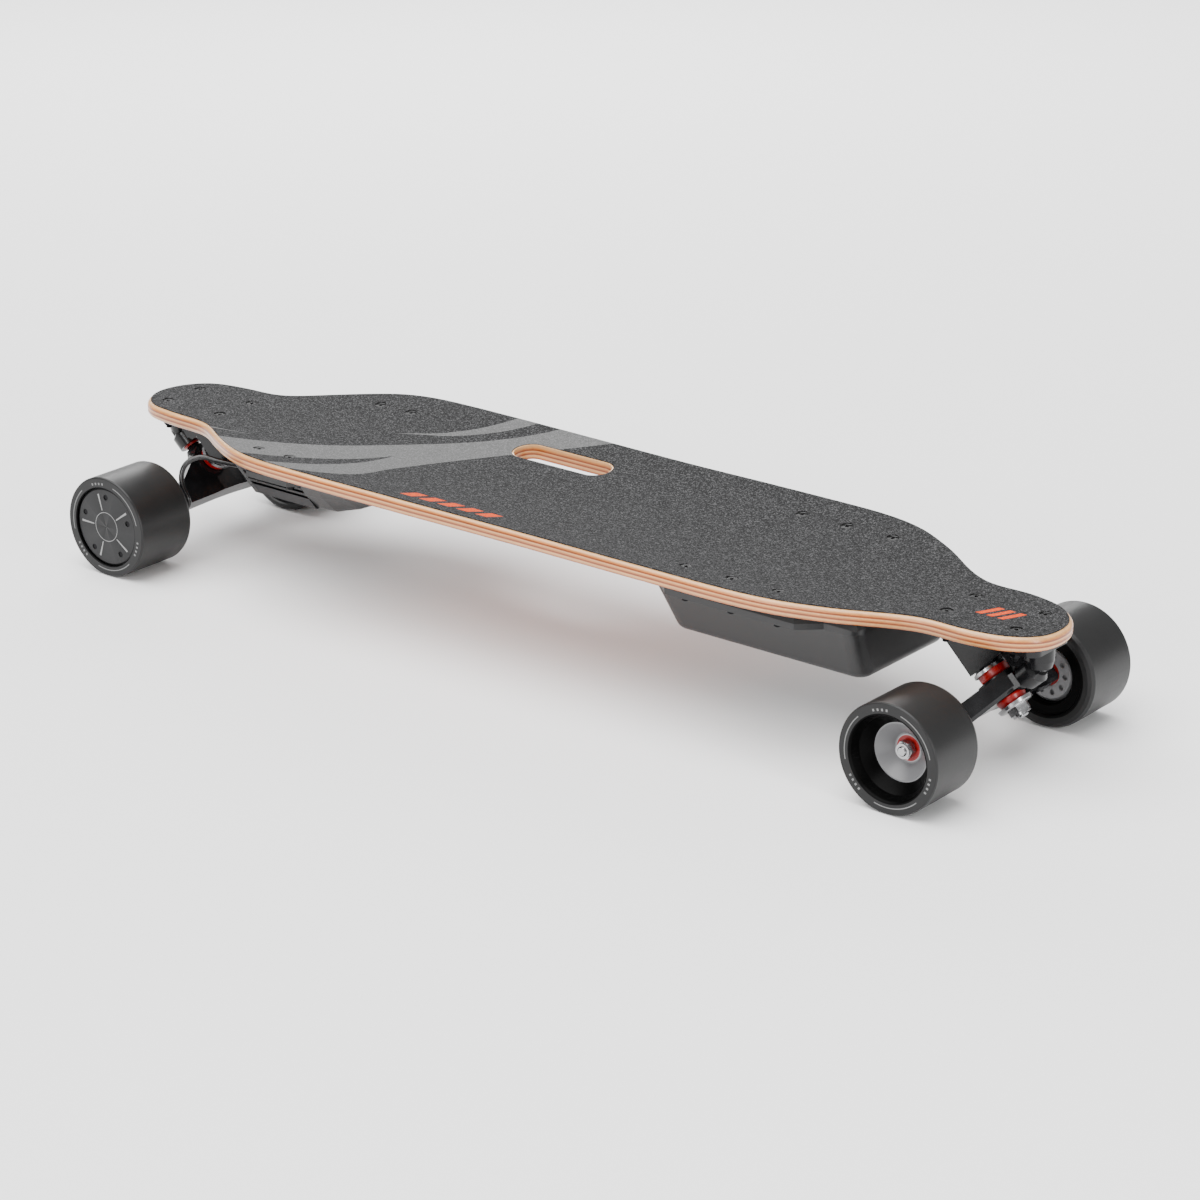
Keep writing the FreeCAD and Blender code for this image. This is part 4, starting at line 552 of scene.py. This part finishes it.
def woven_black(name):
    """Black cable jacket with a fine braided look."""
    paint = Paint(name)
    weave = paint.node("ShaderNodeTexVoronoi")
    weave.inputs["Scale"].default_value = 900
    paint.link(paint.position(), weave.inputs["Vector"])
    cells = weave.outputs["Distance"]
    paint.colour(paint.mix(cells, (0.003, 0.003, 0.003), (0.010, 0.010, 0.011)))
    paint.rough(cells, 0.12, 0.28)
    paint.bump(cells, 0.00015, 0.5)
    return paint.material


# ---------------------------------------------------------------- assign materials


def assign(material, *names):
    """Give CAD nodes one material."""
    for name in names:
        mesh = nodes[name].data
        mesh.materials.clear()
        mesh.materials.append(material)


def smooth_edges(*names, width=0.0004, segments=2):
    """Ease the sharp edges of CAD nodes with a modifier."""
    for name in names:
        bevel = nodes[name].modifiers.new("eased", "BEVEL")
        bevel.width = width
        bevel.segments = segments
        bevel.limit_method = "ANGLE"
        bevel.angle_limit = math.radians(35)
        bevel.harden_normals = True


def assign_all():
    """Most CAD nodes get their finish; the bearings and motor covers get theirs at the end."""
    black_cast = cast_metal("truck_paint", (0.004, 0.004, 0.0045), 0.14, 0.30)
    assign(black_cast, "front_baseplate", "rear_baseplate", "front_hanger", "rear_hanger")
    red = urethane_red("red_urethane")
    assign(red, "front_pivot_cup", "rear_pivot_cup")
    steel = bare_steel("plated_steel", (0.42, 0.42, 0.43), 0.22)
    assign(steel, "kingpins", "kingpin_nuts", "bushing_washers", "front_axle", "front_axle_nuts",
           "front_axle_rings", "front_bearing_inner_races", "rear_shafts", "power_switch", "power_button")
    black_steel = bare_steel("blackened_steel", (0.014, 0.014, 0.015), 0.30)
    assign(black_steel, "truck_nuts", "case_nuts", "rear_left_cover_screws", "rear_right_cover_screws")
    assign(cast_metal("bolt_black", (0.0012, 0.0012, 0.0013), 0.35, 0.50, 0.00002, shine=0.07), "truck_bolts",
           "case_bolts")
    case = moulded("case_plastic", (0.004, 0.004, 0.0045), 0.26, 0.40, 1100, 0.0002)
    assign(case, "battery_case", "esc_case")
    assign(moulded("small_plastic", (0.004, 0.004, 0.0045), 0.3, 0.5, 2200, 0.00005), "cell_holders",
           "charge_socket", "charge_cap", "esc_cable_glands")
    assign(moulded("foam", (0.004, 0.004, 0.004), 0.8, 0.95, 2600, 0.0003), "battery_gasket", "esc_gasket")
    assign(cast_metal("anodised", (0.008, 0.008, 0.009), 0.28, 0.42, 0.00003, 0.5), "esc_heatsink",
           "rear_left_motor_can", "rear_right_motor_can")
    assign(maple("maple_plies"), "deck")
    assign(grip_paint("grip_grit"), "grip_tape")
    assign(moulded("core_grey", (0.13, 0.13, 0.134), 0.26, 0.38), "front_left_core", "front_right_core")
    front_urethane = wheel_urethane("front_urethane", FRONT_AXLE)
    rear_urethane = wheel_urethane("rear_urethane", REAR_AXLE)
    assign(front_urethane, "front_left_tyre", "front_right_tyre")
    assign(rear_urethane, "rear_left_sleeve", "rear_right_sleeve")
    assign(moulded("cell_wrap", (0.02, 0.16, 0.12), 0.2, 0.3, 200, 0.00003), "battery_cells")
    assign(moulded("circuit_board", (0.01, 0.10, 0.04), 0.25, 0.4, 3000, 0.00003), "bms_board", "esc_board")
    assign(moulded("capacitor_sleeve", (0.03, 0.03, 0.05), 0.2, 0.3, 200, 0.00002), "esc_capacitors")
    assign(bare_steel("stator_iron", (0.28, 0.28, 0.29), 0.45), "rear_stators")
    assign(bare_steel("copper", (0.75, 0.34, 0.16), 0.3), "rear_windings")
    assign(bare_steel("magnet_plating", (0.55, 0.56, 0.58), 0.25), "rear_left_magnets", "rear_right_magnets")


def bearing_paint(name, centre, shield_low, shield_high):
    """Bearing races: steel with a red shield between the rings."""
    paint = Paint(name)
    radius = paint.around(centre)[0]
    shield = paint.band(radius, shield_low, shield_high)
    marks = paint.noise(700, 3)
    colour = paint.mix(shield, (0.35, 0.35, 0.36), (0.34, 0.004, 0.003))
    paint.colour(paint.mix(paint.math("MULTIPLY", marks, 0.3), colour, (0.05, 0.02, 0.02)))
    paint.rough(marks, 0.25, 0.45)
    inverse = paint.math("SUBTRACT", 1, shield)
    paint.link(inverse, paint.base.inputs["Metallic"])
    paint.bump(marks, 0.00004, 0.4)
    return paint.material


def cover_paint(name, centre):
    """The motor cover: dark satin metal, five faint facets and a plain printed ring with short spokes."""
    paint = Paint(name)
    radius, angle = paint.around(centre)
    turns = paint.math("MULTIPLY", angle, 5 / (2 * math.pi))
    wedge = paint.math("FRACT", turns)
    facet = paint.math("ABSOLUTE", paint.math("SUBTRACT", wedge, 0.5))
    marks = paint.noise(500, 3)
    body = paint.mix(facet, (0.005, 0.005, 0.0055), (0.016, 0.016, 0.017))
    ring = paint.band(radius, 0.0128, 0.0133)
    middle_of_wedge = paint.band(wedge, 0.475, 0.525)
    spokes = paint.math("MULTIPLY", middle_of_wedge, paint.band(radius, 0.0150, 0.0300))
    printed = paint.math("MAXIMUM", ring, spokes)
    paint.colour(paint.mix(printed, body, (0.24, 0.24, 0.24)))
    paint.rough(marks, 0.3, 0.42)
    paint.metal(0.4)
    paint.bump(facet, 0.0010, 0.6)
    paint.bump(marks, 0.00004, 0.4)
    return paint.material


# ---------------------------------------------------------------- soft pieces

KINGPIN_REACH = 0.0223
RING_TOP = 0.013
RING_FLOOR = 0.004
BUSHING_HEIGHT = 0.0085
BUSHING_BORE = 0.0048
BUSHING_GAP = 0.0003
CABLE_ROUTE = [(-0.334, 0.046, 0.092), (-0.356, 0.049, 0.091), (-0.375, 0.057, 0.096),
               (-0.386, 0.068, 0.088), (-0.384, 0.074, 0.072), (-0.374, 0.073, 0.058),
               (-0.382, 0.069, 0.047), (-0.3968, 0.068, 0.045)]
CABLE_RADIUS = 0.0025

# The flat cable: half its height, its three cores side by side and the web between them.
FLAT_HALF_HEIGHT = 0.00172
CORE_HALF_WIDTH = 0.0027
CORE_PITCH = 0.0052
CORE_OVERLAP = 1.08
WEB_SHARE = 0.45


def new_mesh(name, points, faces):
    """A smooth-shaded mesh object in the model's frame."""
    mesh = bpy.data.meshes.new(name)
    mesh.from_pydata(points, [], faces)
    for face in mesh.polygons:
        face.use_smooth = True
    made = bpy.data.objects.new(name, mesh)
    bpy.context.collection.objects.link(made)
    return made


def turned(name, outline, place, steps=72):
    """A ring turned round a placement's Z from a closed outline of (radius, height) points."""
    points = []
    faces = []
    count = len(outline)
    for step in range(steps):
        angle = 2 * math.pi * step / steps
        for radius, height in outline:
            points.append(place @ Vector((radius * math.cos(angle), radius * math.sin(angle), height)))
        following = (step + 1) % steps
        for index in range(count):
            after = (index + 1) % count
            faces.append((step * count + index, following * count + index, following * count + after,
                          step * count + after))
    return new_mesh(name, points, faces)


def kingpin_frame(axle, end):
    """A placement on the hanger ring's centre with Z up the kingpin."""
    slope = math.sqrt(0.5)
    along = Vector((end * slope, 0, slope))
    up = Vector((-end * slope, 0, slope))
    across = up.cross(along)
    turn = Matrix((along, across, up)).transposed().to_4x4()
    return Matrix.Translation(axle + along * KINGPIN_REACH) @ turn


def rounded_outline(points, rounds=3):
    """Cut a closed outline's corners a few times, which rounds them."""
    for turn in range(rounds):
        share = 0.12 if turn == 0 else 0.25
        cut = []
        for index, point in enumerate(points):
            following = points[(index + 1) % len(points)]
            step_x = (following[0] - point[0]) * share
            step_y = (following[1] - point[1]) * share
            cut.append((point[0] + step_x, point[1] + step_y))
            cut.append((following[0] - step_x, following[1] - step_y))
        points = cut
    return points


def add_bushings(word, axle, end, material):
    """The barrel and cone bushings, turned to sit between the hanger and the kingpin's washers."""
    place = kingpin_frame(axle, end)
    low = RING_TOP + BUSHING_GAP
    high = RING_TOP + BUSHING_HEIGHT
    waist = (low + high) / 2
    barrel = turned(word + "_barrel_bushing", rounded_outline([
        (BUSHING_BORE, low), (0.0120, low), (0.0129, low + 0.0012), (0.0130, waist), (0.0129, high - 0.0012),
        (0.0120, high), (BUSHING_BORE, high)]), place)
    low = -(RING_FLOOR + BUSHING_GAP)
    high = -(RING_FLOOR + BUSHING_HEIGHT)
    cone = turned(word + "_cone_bushing", rounded_outline([
        (BUSHING_BORE, high), (0.0104, high), (0.0112, high + 0.0012), (0.0127, low - 0.0020),
        (0.0126, low - 0.0006), (0.0118, low), (BUSHING_BORE, low)]), place)
    for piece, inner, outer in ((barrel, RING_TOP, RING_TOP + BUSHING_HEIGHT),
                                (cone, -RING_FLOOR, -RING_FLOOR - BUSHING_HEIGHT)):
        piece.data.materials.append(material)
        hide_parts(word + "_bushings")
        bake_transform(piece)


def add_motor_cable(word, side, material):
    """One motor's cable: a smooth tube from the controller's gland to the hanger."""
    data = bpy.data.curves.new(word + "_route", "CURVE")
    data.dimensions = "3D"
    line = data.splines.new("NURBS")
    line.points.add(len(CABLE_ROUTE) - 1)
    for point, (x, y, z) in zip(line.points, CABLE_ROUTE):
        point.co = (x, side * y, z, 1)
    line.order_u = 3
    line.use_endpoint_u = True
    line.resolution_u = 12
    data.bevel_depth = CABLE_RADIUS - 0.0001
    data.bevel_resolution = 6
    data.use_fill_caps = True
    curve = bpy.data.objects.new(word + "_route", data)
    bpy.context.collection.objects.link(curve)
    bpy.context.view_layer.update()
    mesh = bpy.data.meshes.new_from_object(curve)
    bpy.data.objects.remove(curve)
    cable = bpy.data.objects.new("rear_%s_cable" % word, mesh)
    bpy.context.collection.objects.link(cable)
    mesh.materials.clear()
    mesh.materials.append(material)
    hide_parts("rear_%s_motor_cable" % word)
    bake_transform(cable)


def add_power_cable(material):
    """The flat three-core cable held against the deck between the two cases."""
    low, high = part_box("power_cable")
    centre_z = (low[2] + high[2]) / 2
    outline = []
    steps = 120
    for step in range(steps):
        angle = 2 * math.pi * step / steps
        across = math.cos(angle) * (CORE_PITCH + CORE_HALF_WIDTH)
        nearest = min((-CORE_PITCH, 0, CORE_PITCH), key=lambda core: abs(across - core))
        lobe = math.sqrt(max(0.0, 1 - ((across - nearest) / (CORE_HALF_WIDTH * CORE_OVERLAP)) ** 2))
        rise = FLAT_HALF_HEIGHT * max(lobe, WEB_SHARE if abs(across) < CORE_PITCH else lobe)
        outline.append((across, rise if math.sin(angle) >= 0 else -rise))
    stations = 60
    points = []
    faces = []
    for station in range(stations):
        share = station / (stations - 1)
        x = low[0] + (high[0] - low[0]) * share
        drift = 0.0002 * math.sin(share * 19) * math.sin(share * math.pi)
        for across, rise in outline:
            points.append((x, across + drift, centre_z + rise))
    for station in range(stations - 1):
        for step in range(steps):
            following = (step + 1) % steps
            here = station * steps
            beyond = here + steps
            faces.append((here + step, here + following, beyond + following, beyond + step))
    cable = new_mesh("flat_power_cable", points, faces)
    cable.data.materials.append(material)
    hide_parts("power_cable")
    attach(cable, "board")


add_camera()
add_studio()
assign_all()
red = urethane_red("bushing_red")
add_bushings("front", FRONT_AXLE, 1, red)
add_bushings("rear", REAR_AXLE, -1, red)
jacket = woven_black("motor_cable_jacket")
add_power_cable(jacket)
add_motor_cable("left", 1, jacket)
add_motor_cable("right", -1, jacket)
smooth_edges("front_hanger", "rear_hanger", "front_baseplate", "rear_baseplate", width=0.0005)
smooth_edges("battery_case", "esc_case", "esc_heatsink", "front_left_tyre", "front_right_tyre",
             "rear_left_sleeve", "rear_right_sleeve", "front_left_core", "front_right_core", width=0.0005)
smooth_edges("deck", width=0.0012, segments=3)
smooth_edges("bushing_washers", "kingpin_nuts", "kingpins", "truck_bolts", "truck_nuts", "case_bolts",
             "case_nuts", "front_axle_nuts", "charge_cap", "charge_socket", "power_button",
             "rear_left_motor_cover", "rear_right_motor_cover", width=0.00025)
assign(bearing_paint("front_bearing", FRONT_AXLE, 0.0060, 0.0104), "front_left_bearing_outer_races",
       "front_right_bearing_outer_races")
assign(bearing_paint("rear_bearing", REAR_AXLE, 0.0083, 0.0120), "rear_left_bearings", "rear_right_bearings")
assign(cover_paint("motor_cover_paint", REAR_AXLE), "rear_left_motor_cover", "rear_right_motor_cover")
